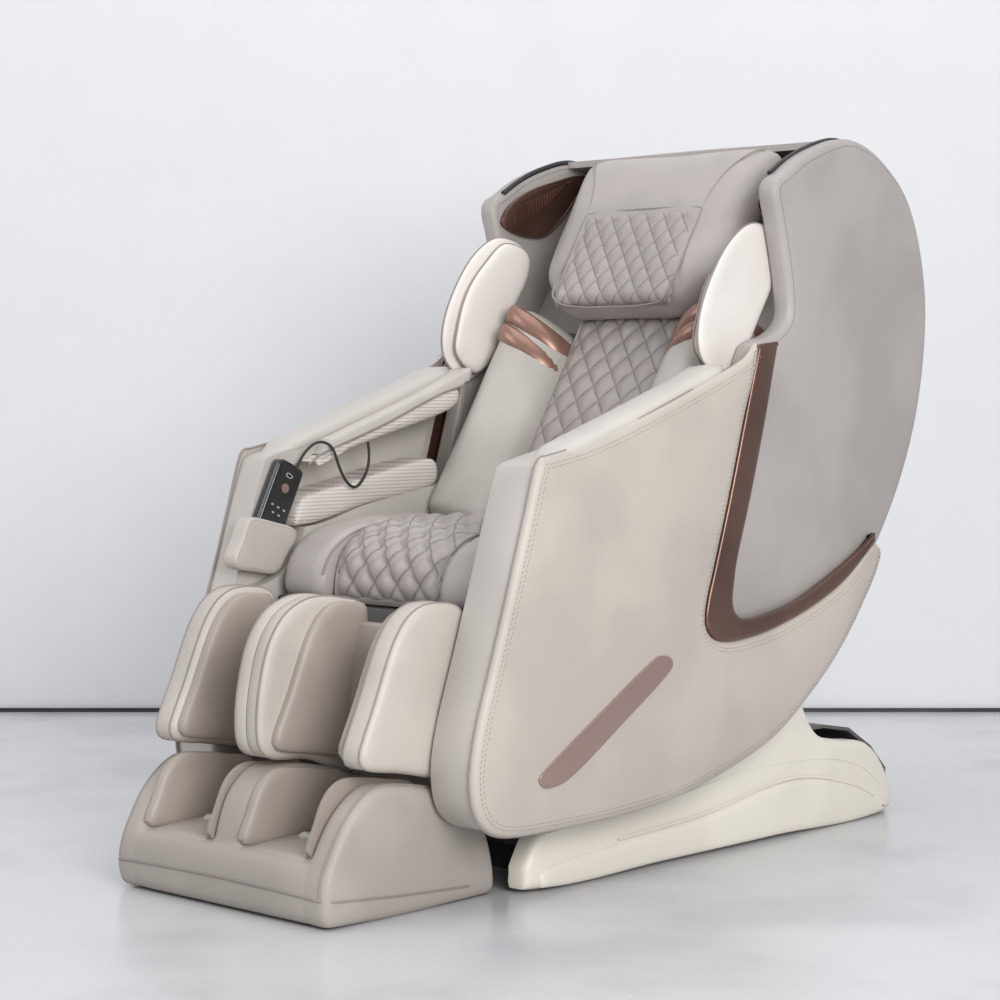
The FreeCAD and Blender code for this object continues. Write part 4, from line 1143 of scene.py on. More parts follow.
@dataclass
class Arms:
    """Side panels, arms, arm pads, trims and bare plates."""

    shop: Workshop

    def build(self) -> None:
        """Make both sides."""
        panel = anticlockwise(smooth(PANEL_SWEEP + TRIM_OUTER + ARM_TOP_LINE, True, 14))
        for name, side in SIDES:
            self.panel(name, side, panel)
            self.arm(name, side)
            self.cap(name, side)
            self.pads(name, side)
            self.trim(name, side)

    def bend(self, mesh: Mesh, side: int) -> Mesh:
        """Turn the front of a panel piece in.

        Args:
            mesh: Its mesh.
            side: +1 for the sitter's left, -1 for the right.

        Returns:
            The turned mesh.
        """
        flat = np.array([(y, z) for _, y, z in mesh[0]])
        shift = panel_face(flat)
        return [(x - side * turn, y, z) for (x, y, z), turn in zip(mesh[0], shift)], mesh[1]

    def panel(self, name: str, side: int, outline: np.ndarray) -> None:
        """Make one outer panel with its piping and bare plate.

        Args:
            name: Side name.
            side: +1 or -1.
            outline: The panel's outline.
        """
        face = Crown(side * 353.0, 8.0, 11.0, 150.0, 15.0)
        slab = padded_slab(outline, face, Crown(side * PANEL_INNER, 0.0), 20.0)
        self.shop.piece(f"side_panel_skin_{name}", self.bend(slab, side), CHAMPAGNE, "seat",
                        [f"side_panel_{name}"])
        edge = smooth(ARM_TOP_LINE[1:] + PANEL_SWEEP[:12], False, 8)
        bead = np.hstack([side * (350.0 - panel_face(edge))[:, None], edge])
        self.shop.tube(f"panel_piping_{name}", bead, 2.0, PIPING, "seat", "champagne_leather")
        for index, depth in enumerate((11.0, 17.0)):
            run = inset(outline, depth)
            level = np.abs(face.height(np.full(len(run), depth), side)) + 0.2 - panel_face(run)
            self.shop.stitches(f"panel_stitches_{index}_{name}", np.hstack([side * level[:, None], run]),
                               "seat",
                               "champagne_leather", pitch=8.0, closed=True)
        plate = smooth([(-380, 184), (-362, 180), (-322, 190), (-210, 262), (-100, 334), (-91, 348),
                        (-104, 359),
                        (-132, 358), (-250, 288), (-372, 210), (-388, 196)], True, 7)
        body = padded_slab(plate, Crown(2.6, 1.2, 0.2, 12.0, 5.0), Crown(-1.0, 0.0), 20.0)
        flat = np.array([(y, z) for _, y, z in body[0]])
        ground = np.abs(face.height(clearance(flat, outline), side)) - panel_face(flat)
        fitted = [(side * (level + x), y, z) for (x, y, z), level in zip(body[0], ground)]
        nodes = ["side_plates"] if side > 0 else []
        self.shop.piece(f"side_plate_{name}", (fitted, body[1]), ROSE, "seat", nodes, "rose_plate")

    def arm(self, name: str, side: int) -> None:
        """Make one hollow arm.

        Args:
            name: Side name.
            side: +1 or -1.
        """
        outline = smooth(ARM_BODY, True, 12)
        slab = padded_slab(outline, Crown(-334.0, 0.0), Crown(-253.0, 7.0, 0.0, 60.0, 16.0), 20.0)
        body = self.shop.piece(f"arm_body_{name}", slab, ARM_TOP, "seat", slot="champagne_leather")
        self.shop.carve(body, prism([tuple(row) for row in smooth(SLOT, True, 14)], -236.0, -325.0))
        if side < 0:
            self.shop.carve(body, prism([tuple(row) for row in smooth(RECESS, True, 14)], -276.0, -236.0))
        else:
            body.data.transform(Matrix.Scale(-1.0, 4, (1.0, 0.0, 0.0)))
            body.data.flip_normals()
        self.shop.dress(body, ARM_TOP, "seat", slot="champagne_leather")
        rim = smooth([(-300, 651), (-272, 668), (-128, 715), (13, 768), (76, 785)], False, 8)
        self.shop.tube(f"arm_piping_{name}", np.hstack([np.full((len(rim), 1), side * 245.4), rim]), 1.8,
                       PIPING, "seat",
                       "champagne_leather")

    def cap(self, name: str, side: int) -> None:
        """Make the rounded leather top of one arm.

        Args:
            name: Side name.
            side: +1 or -1.
        """
        path = smooth([(-338, 664), (-300, 678), (-259, 692), (-140, 731), (-15, 773), (60, 800),
                       (98, 814)], False, 14)
        upward = outwards(path)
        rings = []
        for share, place, normal in zip(np.linspace(0.0, 1.0, len(path)), path, upward):
            full = min(1.0, 0.45 + 6.0 * share, 0.3 + 9.0 * (1.0 - share))
            ring = []
            for turn in np.linspace(0.0, 2.0 * math.pi, 36, endpoint=False):
                across, rise = math.cos(turn), math.sin(turn)
                across = math.copysign(abs(across) ** 0.75, across)
                lift = (17.0 if rise > 0.0 else 6.0) * math.copysign(abs(rise) ** 0.8, rise) * full
                ring.append((side * (312.0 + 38.0 * full * across), *(place + normal * lift)))
            rings.append(ring)
        self.shop.piece(f"arm_cap_{name}", ringed(rings), ARM_TOP, "seat", slot="champagne_leather")

    def pads(self, name: str, side: int) -> None:
        """Make the air pads over and under the forearm.

        Args:
            name: Side name.
            side: +1 or -1.
        """
        for level, outline in (("upper", PAD_UPPER), ("lower", PAD_LOWER)):
            slab = padded_slab(smooth(outline, True, 9), Crown(side * 253.0, 7.0, 2.0, 30.0, 12.0),
                               Crown(side * 324.0, 0.0), 14.0)
            self.shop.piece(f"arm_pad_{level}_skin_{name}", slab, PAD, "seat", [f"arm_pad_{level}_{name}"])

    def trim(self, name: str, side: int) -> None:
        """Make one V-shaped copper trim.

        Args:
            name: Side name.
            side: +1 or -1.
        """
        outer, inner = smooth(TRIM_OUTER, False, 9), smooth(TRIM_INNER[::-1], False, 9)
        slab = padded_slab(np.vstack([outer, inner]), Crown(side * 359.0, 3.0, 1.0, 14.0, 6.0),
                           Crown(side * PANEL_INNER, 0.0), 16.0)
        self.shop.piece(f"side_trim_skin_{name}", slab, COPPER, "seat", [f"side_trim_{name}"])


@dataclass
class Seat:
    """Seat cushion: quilted middle between two smooth rolls."""

    shop: Workshop
    quilt: float = 128.0

    def build(self) -> None:
        """Make the cushion's pieces."""
        core = smooth([(-354, 440), (-348, 490), (-322, 526), (-285, 547), (-220, 556), (-110, 557),
                       (10, 540),
                       (18, 525), (12, 440), (-52, 431), (-200, 430), (-345, 430)], True, 14)
        slab = padded_slab(core, Crown(self.quilt - 4.0, 0.0), Crown(4.0 - self.quilt, 0.0), 30.0)
        self.shop.piece("seat_core", slab, TAUPE, "seat", ["seat_cushion"])
        size = (51.0, 62.0)

        def rise(across: float, along: float) -> float:
            """Height of the quilt, falling at its rim.

            Args:
                across: Millimetres from the middle.
                along: Share of the length.

            Returns:
                The height.
            """
            rim = max(abs(across) / self.quilt, abs(2.0 * along - 1.0) ** 3)
            return 9.0 * (1.0 - rim ** 8) - 5.0 + diamonds(across, along * 520.0, size,
                                                           8.5) * (1.0 - rim ** 6)

        profile = np.array([(-354, 436), (-352, 470), (-343, 505), (-322, 530), (-287, 549), (-220, 557),
                            (-110, 558), (-40, 554), (8, 543)], dtype=float)
        mesh, coords = patch(profile, self.quilt, rise, 4.5, size)
        self.shop.piece("seat_quilt", mesh, QUILT, "seat", slot="taupe_leather", coords=coords)
        roll = smooth([(-379, 448), (-379, 470), (-368, 500), (-345, 526), (-300, 548), (-220, 559),
                       (-110, 560),
                       (-56, 553), (-47, 500), (-47, 445), (-60, 431), (-200, 430), (-352, 430),
                       (-370, 435)], True, 12)
        for name, side in SIDES:
            slab = padded_slab(roll, Crown(side * 211.0, 18.0, 4.0, 60.0, 17.0),
                               Crown(side * 148.0, 16.0, 0.0, 60.0, 17.0), 16.0)
            made = self.shop.piece(f"seat_roll_{name}", slab, TAUPE, "seat", slot="taupe_leather")
            self.shop.inflate(made, 8.0, 6.0)
            self.shop.dress(made, TAUPE, "seat", slot="taupe_leather")
            run = smooth(roll[:52], False, 8)
            bead = np.hstack([np.full((len(run), 1), side * (self.quilt + 3.0)), run + (4.0, -3.0)])
            self.shop.tube(f"seat_piping_{name}", bead[4:-2], 1.9, PIPING, "seat", "taupe_leather")


@dataclass
class Remote:
    """Handset, its pocket and its lead."""

    shop: Workshop
    foot: Pair = (-392.0, 522.0)
    top: Pair = (-328.0, 653.0)
    back: float = -272.0
    face: float = -252.0

    def place(self, across: float, along: float) -> Pair:
        """Side-view place on the handset.

        Args:
            across: From its centre line.
            along: From its foot.

        Returns:
            The (Y, Z) pair.
        """
        step = (self.top[0] - self.foot[0], self.top[1] - self.foot[1])
        length = math.hypot(*step)
        dy, dz = step[0] / length, step[1] / length
        return self.foot[0] + along * dy + across * dz, self.foot[1] + along * dz - across * dy

    def build(self) -> None:
        """Make the handset, pocket and lead."""
        length = math.dist(self.foot, self.top)
        corners = [(-22, 1), (22, 1), (28, 5), (29.4, 12), (29.4, length - 12), (28, length - 5),
                   (22, length - 1),
                   (-22, length - 1), (-28, length - 5), (-29.4, length - 12), (-29.4, 12), (-28, 5)]
        outline = smooth([self.place(*pair) for pair in corners], True, 5)
        slab = padded_slab(outline, Crown(self.face - 4.0, 4.0, 0.0, 20.0, 5.0),
                           Crown(self.back + 3.0, 3.0, 0.0, 20.0, 4.0), 14.0)
        self.shop.piece("remote_body", slab, BLACK, "remote", ["remote_handset"])
        marks: list[tuple[float, float, float]] = [(0.0, length - 22.0, 7.0)]
        marks += [(across, 66.0, 2.3) for across in (-14, 0, 14)] + [(across, 54.0, 2.0) for across in (-7,
                                                                                                        7)]
        for index, (across, along, radius) in enumerate(marks):
            ring = [self.place(across + radius * math.cos(turn), along + radius * 0.5 * math.sin(turn))
                    for turn in np.linspace(0, 2 * math.pi, 20, endpoint=False)]
            line = np.array([(self.face + 0.1, *pair) for pair in ring])
            self.shop.tube(f"remote_mark_{index}", line, 0.45, GLOW, "remote", "gloss_black", closed=True)
        pocket = smooth([(-462, 498), (-447, 530), (-431, 563), (-418, 567), (-372, 557), (-330, 545),
                         (-323, 530),
                         (-342, 504), (-362, 477), (-380, 471), (-416, 477), (-452, 484)], True, 8)
        slab = padded_slab(pocket, Crown(-250.5, 4.0, 0.5, 30.0, 8.0), Crown(-276.0, 0.0), 16.0)
        made = self.shop.piece("remote_pocket_skin", slab, GREIGE, "seat", ["remote_pocket"])
        hole = [self.place(*pair) for pair in ((-30.6, -0.4), (30.6, -0.4), (30.6, 92), (-30.6, 92))]
        self.shop.carve(made, prism(hole, -272.5, -251.0))
        self.shop.dress(made, GREIGE, "seat", ["remote_pocket"])
        rim = smooth(inset(anticlockwise(pocket), 5.0), True, 6)
        self.shop.stitches("pocket_stitches", np.hstack([np.full((len(rim), 1), -246.6), rim]), "seat",
                           "champagne_leather", pitch=6.0, closed=True)
        self.lead(length)

    def lead(self, length: float) -> None:
        """Make the handset's lead.

        Args:
            length: Length of the handset.
        """
        route = [(-262.0, *self.place(18.0, length)), (-262.0, *self.place(18.0, length + 22.0)),
                 (-248, -280, 692),
                 (-236, -254, 684), (-236, -240, 648), (-236, -222, 618), (-236, -195, 606),
                 (-253, -146, 652),
                 (-253, -154.9, 687.0)]
        curve = bpy.data.curves.new("remote_lead", "CURVE")
        curve.dimensions = "3D"
        curve.bevel_depth = 2.5 * MM
        curve.bevel_resolution = 3
        curve.use_fill_caps = True
        spline = curve.splines.new("NURBS")
        spline.points.add(len(route) - 1)
        for point, place in zip(spline.points, route):
            point.co = (place[0] * MM, place[1] * MM, place[2] * MM, 1.0)
        spline.order_u = 3
        spline.use_endpoint_u = True
        spline.resolution_u = 16
        made = bpy.data.objects.new("remote_lead", curve)
        bpy.context.collection.objects.link(made)
        curve.materials.append(self.shop.material(RUBBER))
        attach(made, "seat")
        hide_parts("remote_cord")
        exit_place = tuple(value * MM for value in route[0])


# ---------------------------------------------------------------- backrest
SHELL_LINE = [(216, 1118), (250, 1142), (293, 1168), (350, 1191), (424, 1210), (485, 1203), (547, 1175),
              (611, 1125), (654, 1048), (679, 939), (674, 831), (649, 722), (602, 615), (536, 514),
              (504, 486), (300, 414), (120, 381), (60, 383), (30, 402), (28, 440), (42, 487), (80, 599),
              (120, 728), (156, 846), (215, 868), (255, 895), (258, 930), (246, 994), (228, 1060)]
COVER_REAR = [(424, 1210), (485, 1203), (547, 1175), (611, 1125), (654, 1048), (679, 939), (674, 831),
              (649, 722), (602, 615), (536, 514)]
BOLSTER = [(125, -50), (125, -116), (131, -140), (150, -165), (185, -190), (218, -197), (238, -184),
           (246, -155),
           (246, -50)]


@dataclass
class Backrest:
    """Side shells, rear cover, quilt, bolsters, shoulder pads and grilles."""

    shop: Workshop

    def build(self) -> None:
        """Make the backrest."""
        self.cover()
        self.quilt()
        outline = smooth(SHELL_LINE, True, 14)
        for name, side in SIDES:
            self.shell(name, side, outline)
            self.bolster(name, side)
            self.shoulder(name, side)
            self.grille(name, side)

    def cover(self) -> None:
        """Make the curved rear cover."""
        line = smooth(COVER_REAR, False, 16)
        outward = outwards(line)
        shares = np.sin(np.pi * np.linspace(0, 1, len(line))) ** 0.7
        rings = []
        for share in np.linspace(-1.0, 1.0, 25):
            swell = (38.0 * (1.0 - share * share) * shares)[:, None]
            loop = np.vstack([line + outward * swell, (line + outward * (swell - 12.0))[::-1]])
            rings.append([(share * COVER_HALF, *row) for row in loop])
        self.shop.piece("back_cover_skin", ringed(rings), SHELL, "backrest", ["back_cover"])
        for index, share in enumerate((-0.985, 0.985)):
            bead = line + outward * (38.0 * (1.0 - share * share) * shares)[:, None]
            level = np.full((len(bead), 1), share * COVER_HALF)
            self.shop.tube(f"back_cover_piping_{index}", np.hstack([level, bead])[2:-2], 2.2, PIPING,
                           "backrest", "taupe_leather")

    def quilt(self) -> None:
        """Make the quilted middle of the back."""
        size = (51.0, 62.0)
        core = smooth(leans([(-118, 64), (-118, 330), (-118, 594), (-104, 598), (-104, 330), (-104, 62)]),
                      True, 12)
        slab = padded_slab(core, Crown(124.0, 0.0, width=4.0), Crown(-124.0, 0.0, width=4.0), 40.0)
        self.shop.piece("back_quilt_core", slab, TAUPE, "backrest", ["back_pad"])

        def rise(across: float, along: float) -> float:
            """Height of the quilt, falling at its rim.

            Args:
                across: Millimetres from the middle.
                along: Share of the length.

            Returns:
                The height.
            """
            rim = abs(across) / 125.0
            return 8.0 * (1.0 - rim ** 8) - 2.0 + diamonds(across, along * 538.0, size,
                                                           8.0) * (1.0 - rim ** 6)

        mesh, coords = patch(np.array(leans([(-118, 60 + step * 89.7) for step in range(7)])), 125.0, rise,
                             4.5, size)
        self.shop.piece("back_quilt", mesh, QUILT, "backrest", slot="taupe_leather", coords=coords)

    def shell(self, name: str, side: int, outline: np.ndarray) -> None:
        """Make one side shell with its facing and piping.

        Args:
            name: Side name.
            side: +1 or -1.
            outline: Its outline.
        """
        slab = padded_slab(outline, Crown(side * 330.0, 12.0, 6.0, 110.0, 24.0),
                           Crown(side * 309.0, 7.0, 0.0, 60.0, 16.0), 22.0)
        self.shop.piece(f"back_shell_skin_{name}", slab, SHELL, "backrest", [f"back_shell_{name}"])
        ordered = anticlockwise(outline)
        for index, (level, depth) in enumerate(((303.2, 12.0), (341.0, 13.0))):
            run = inset(ordered, depth)
            self.shop.tube(f"shell_seam_{index}_{name}",
                           np.hstack([np.full((len(run), 1), side * level), run]), 1.3,
                           PIPING, "backrest", "champagne_leather", closed=True)
        zip_line = smooth([(246, 1141), (293, 1168), (350, 1191), (424, 1209), (485, 1203), (530, 1184)],
                          False, 10)
        self.shop.tube(f"shell_zip_{name}", np.hstack([np.full((len(zip_line), 1), side * 306.0),
                                                       zip_line]), 5.0, SATIN,
                       "backrest", "champagne_leather")
        for index, (low, high, near) in enumerate(((60, 494, 248.0), (494, 770, 130.0))):
            face = smooth(leans([(-60, low + 3), (-60, (low + high) / 2), (-60, high - 3), (-38, high - 2),
                                 (-38, (low + high) / 2), (-38, low + 2)]), True, 12)
            slab = padded_slab(face, Crown(side * near, 0.0, width=3.0),
                               Crown(side * SHELL_INNER, 0.0, width=3.0), 30.0)
            self.shop.piece(f"back_facing_{index}_{name}", slab, SHELL, "backrest", slot="champagne_leather")

    def bolster(self, name: str, side: int) -> None:
        """Make one side bolster with its two copper ribs.

        Args:
            name: Side name.
            side: +1 or -1.
        """
        section = [(side * across, depth) for across, depth in BOLSTER]
        levels = [(32, 0.86, 0.72, 6), (40, 0.95, 0.9, 2), (62, 1, 0.98, 0), (110, 1, 1, 0), (240, 1, 1, 0),
                  (380, 1, 1.01, 0), (450, 1, 0.97, 0), (484, 0.97, 0.88, 6), (498, 0.86, 0.62, 14)]
        made = self.shop.piece(f"bolster_skin_{name}", slanted(stacked(section, levels)), HIDE, "backrest",
                               [f"bolster_{name}"])
        self.shop.inflate(made, 8.0, 3.0)
        self.shop.dress(made, HIDE, "backrest", [f"bolster_{name}"])
        for index, low in enumerate((402.0, 442.0)):
            levels = [(low, 0.99, 0.98, 0), (low + 4, 1.02, 1.04, 0), (low + 19, 1.045, 1.085, 0),
                      (low + 34, 1.02, 1.04, 0),
                      (low + 38, 0.99, 0.97, 0)]
            nodes = ["bolster_bands"] if side > 0 and index == 0 else []
            self.shop.piece(f"bolster_rib_{index}_{name}", slanted(stacked(section, levels)), COPPER_HIDE,
                            "backrest", nodes, "copper_trim")
        edge = smooth([(side * across, *lean(depth, climb)) for across, depth, climb in
                       ((128, -124, 50), (127, -126, 110), (127, -126, 240), (127, -127, 360))], False, 8)
        self.shop.tube(f"bolster_piping_{name}", edge, 2.0, PIPING, "backrest", "ivory_leather")

    def shoulder(self, name: str, side: int) -> None:
        """Make one two-layer shoulder pad.

        Args:
            name: Side name.
            side: +1 or -1.
        """
        for layer, (root, shrink) in enumerate(((302.0, 0.0), (282.5, 14.0))):
            outline = smooth(leans([(-160 - shrink * 0.3, 332 + shrink), (-232, 324 + shrink),
                                    (-270 + shrink, 366 + shrink),
                                    (-284 + shrink, 450), (-272 + shrink, 538 - shrink), (-232, 596 - shrink),
                                    (-160 - shrink * 0.3, 604 - shrink), (-141 - shrink, 470)]), True, 11)
            slab = padded_slab(outline, Crown(side * (root - 10.0), 7.0, 3.0, 60.0, 16.0),
                               Crown(side * (root - 8.0), 7.0, 0.0, 60.0, 16.0), 16.0)
            nodes = [f"shoulder_pad_{name}"] if layer == 0 else []
            made = self.shop.piece(f"shoulder_pad_{layer}_{name}_skin", slab, IVORY, "backrest", nodes,
                                   "ivory_leather")
            bead = np.hstack([np.full((len(outline), 1), side * (root - 9.0)), outline])
            self.shop.tube(f"shoulder_piping_{layer}_{name}", bead, 1.9, PIPING, "backrest",
                           "ivory_leather", closed=True)

    def grille(self, name: str, side: int) -> None:
        """Make one slotted speaker grille.

        Args:
            name: Side name.
            side: +1 or -1.
        """
        outline = smooth([(236, 1080), (244, 1108), (290, 1139), (360, 1164), (468, 1184), (452, 1160),
                          (380, 1087),
                          (330, 1063)], True, 8)
        slab = padded_slab(outline, Crown(side * 295.0, 3.0, 0.0, 20.0, 7.0),
                           Crown(side * SHELL_INNER, 0.0), 16.0)
        self.shop.piece(f"grille_plate_{name}", slab, COPPER, "backrest", [f"speaker_grille_{name}"])
        verts: list[Triple] = []
        faces: list[Sequence[int]] = []
        for step in range(22):
            y = 262.0 + 7.6 * step
            low, high = 1076.0 + 2.1 * step + 0.12 * step * step, 1110.0 + 2.9 * step
            bar = prism([(y, low + 8), (y + 3.4, low + 10), (y + 3.4, high + 3), (y, high + 2)],
                        side * 293.0, side * 289.0)
            shift = len(verts)
            verts += bar[0]
            faces += [[index + shift for index in item] for item in bar[1]]
        self.shop.piece(f"grille_slats_{name}", (verts, faces), COPPER, "backrest", slot="copper_trim")
        rim = np.hstack([np.full((len(outline), 1), side * 292.5), outline])
        self.shop.tube(f"grille_rim_{name}", rim, 2.2, COPPER, "backrest", "copper_trim", closed=True)


@dataclass
class Pillow:
    """Head pillow: plain body with a quilted lower face."""

    shop: Workshop

    def build(self) -> None:
        """Make the pillow."""
        section = [(-212, -148), (-192, -188), (-110, -200), (0, -198), (110, -200), (192, -188), (212, -148),
                   (196, -128), (0, -126), (-196, -128)]
        levels = [(466, 0.56, 0.5, 6), (471, 0.64, 0.8, 3), (482, 0.7, 0.97, 0), (505, 0.8, 1, 0),
                  (534, 0.94, 1, 0),
                  (570, 1, 1, 0), (716, 1.02, 1.03, 0), (770, 1.05, 0.97, 2), (800, 1.04, 0.78, 6),
                  (811, 0.98, 0.45, 10)]
        made = self.shop.piece("pillow_body", stacked(section, levels), TAUPE, "pillow", ["head_pillow"])
        self.shop.inflate(made, 8.0, 4.0)
        self.shop.dress(made, TAUPE, "pillow", ["head_pillow"])
        size, half, low, high = (40.0, 50.0), 134.0, 468.0, 660.0

        def rise(across: float, along: float) -> float:
            """Height of the quilt, falling at its rim.

            Args:
                across: Millimetres from the middle.
                along: Share of the length.

            Returns:
                The height.
            """
            rim = max(abs(across) / half, abs(2.0 * along - 1.0))
            return 7.0 * (1.0 - rim ** 10) - 3.0 + diamonds(across, along * (high - low), size,
                                                            6.5) * (1.0 - rim ** 8)

        mesh, coords = patch(np.array(leans([(-184, low), (-197, low + 11), (-200, low + 34), (-201, 540),
                                             (-202, 610), (-202, high)])), half, rise, 4.0, size)
        self.shop.piece("pillow_quilt", mesh, QUILT, "pillow", slot="taupe_leather", coords=coords)
        frame = [(-half, low + 18), (-half, 580), (-half, high - 6), (4 - half, high), (0, high + 4),
                 (half - 4, high),
                 (half, high - 6), (half, 580), (half, low + 18), (half - 24, low + 1), (0, low - 4),
                 (24 - half, low + 1)]
        bead = smooth([(across, *lean(-203.5 + max(0.0, 484.0 - climb) * 0.75, climb)) for across,
                       climb in frame], True, 8)
        self.shop.tube("pillow_piping", bead, 2.0, PIPING, "pillow", "taupe_leather", closed=True)
        for index, side in enumerate((-1, 1)):
            seam = smooth([(side * across, *lean(depth, climb)) for across, depth, climb in
                           ((133, -203, 660), (138, -204, 696), (156, -202, 744), (184, -192, 784),
                            (196, -176, 800))], False, 8)
            self.shop.tube(f"pillow_seam_{index}", seam, 1.4, PIPING, "pillow", "taupe_leather")


# ---------------------------------------------------------------- legrest and footrest
CALF_WALL = [(-421, 436), (-432, 450), (-460, 458), (-506, 458), (-532, 448), (-552, 431), (-574, 399),
             (-611, 315),
             (-639, 254), (-640, 238), (-629, 225), (-560, 213), (-450, 191), (-437, 201), (-430, 300)]
CALF_CENTRE = [(-434, 436), (-480, 455), (-535, 460), (-575, 450), (-606, 429), (-633, 388), (-651, 320),
               (-655, 262), (-647, 233), (-624, 219), (-560, 213), (-442, 191)]
CALF_PAD = [(-440, 438), (-470, 449), (-506, 449), (-530, 439), (-548, 423), (-568, 393), (-604, 312),
            (-631, 256),
            (-632, 243), (-622, 233), (-556, 221), (-462, 206), (-446, 218)]
FOOT_TOP = [(-704, 3), (-716, 22), (-717, 48), (-712, 78), (-686, 129), (-664, 159), (-641, 179), (-618, 193),
            (-595, 198), (-540, 192), (-464, 176), (-415, 157), (-384, 120), (-364, 72), (-355, 14),
            (-364, 3)]
FOOT_CENTRE = [(-700, 60), (-697, 92), (-688, 128), (-672, 165), (-648, 191), (-618, 205), (-580, 207),
               (-540, 201),
               (-468, 183), (-440, 120), (-560, 30)]
SOLE = [(-717, 44), (-713, 74), (-697, 95), (-500, 99), (-470, 175), (-415, 157), (-384, 120), (-364, 72),
        (-355, 14),
        (-362, 3), (-702, 3), (-714, 14)]
FOOT_PAD = [(-694, 100), (-682, 148), (-660, 188), (-630, 206), (-590, 204), (-540, 196), (-480, 176),
            (-500, 98)]


def well_pads(shop: Workshop, part: str, body: str, place: tuple[str, int], outline: np.ndarray) -> None:
    """Make the two air pads of one leg well.

    Args:
        shop: The workshop.
        part: First word of the pads' names.
        body: Body that carries them.
        place: Side name and its sign.
        outline: Their side view.
    """
    name, side = place
    for wall, (near, far) in WELL_PADS:
        way = 1.0 if far > near else -1.0
        slab = padded_slab(outline, Crown(side * (far - way * 9.0), 6.0, 3.0, 50.0, 14.0),
                           Crown(side * near, 0.0), 14.0)
        nodes = [f"{part}_liners"] if side > 0 and wall == "outer" else []
        # the pads' beige carries painted shade for the dark of the leg wells
        made = shop.piece(f"{part}_pad_{wall}_{name}", slab, BEIGE_WITH_PAINTED_SHADE, body, nodes, "beige_leather")


@dataclass
class Legrest:
    """Calf unit: padded walls round two wells."""

    shop: Workshop

    def build(self) -> None:
        """Make the calf unit."""
        wall, centre, pad = smooth(CALF_WALL, True, 12), smooth(CALF_CENTRE, True, 12), smooth(CALF_PAD,
                                                                                               True, 11)
        back = smooth([(-422, 404), (-440, 414), (-464, 414), (-478, 330), (-494, 209), (-470, 200),
                       (-437, 192),
                       (-428, 320)], True, 12)
        slab = padded_slab(back, Crown(188.0, 0.0), Crown(-188.0, 0.0), 30.0)
        self.shop.piece("calf_back", slab, BEIGE_WITH_PAINTED_SHADE, "legrest", slot="beige_leather")
        for name, side in SIDES:
            nodes = ["calf_shell"] if side > 0 else []
            slab = padded_slab(wall, Crown(side * 230.0, 10.0, 3.0, 60.0, 13.0),
                               Crown(side * 201.0, 12.0, 0.0, 60.0, 13.0), 16.0)
            self.shop.piece(f"calf_wall_{name}", slab, GREIGE, "legrest", nodes, "champagne_leather")
            slab = padded_slab(centre, Crown(side * 22.0, 9.0, 2.0, 60.0, 16.0),
                               Crown(side * 2.5, 2.0, 0.0, 60.0, 8.0), 16.0)
            self.shop.piece(f"calf_centre_{name}", slab, GREIGE, "legrest", slot="champagne_leather")
            well_pads(self.shop, "calf", "legrest", (name, side), pad)
            for index, (line, level) in enumerate(((wall, 232.0), (wall, 199.0), (centre, 24.0))):
                bead = np.hstack([np.full((len(line), 1), side * level), inset(anticlockwise(line), 0.4)])
                self.shop.tube(f"calf_piping_{index}_{name}", bead, 1.7, PIPING, "legrest",
                               "champagne_leather", closed=True)


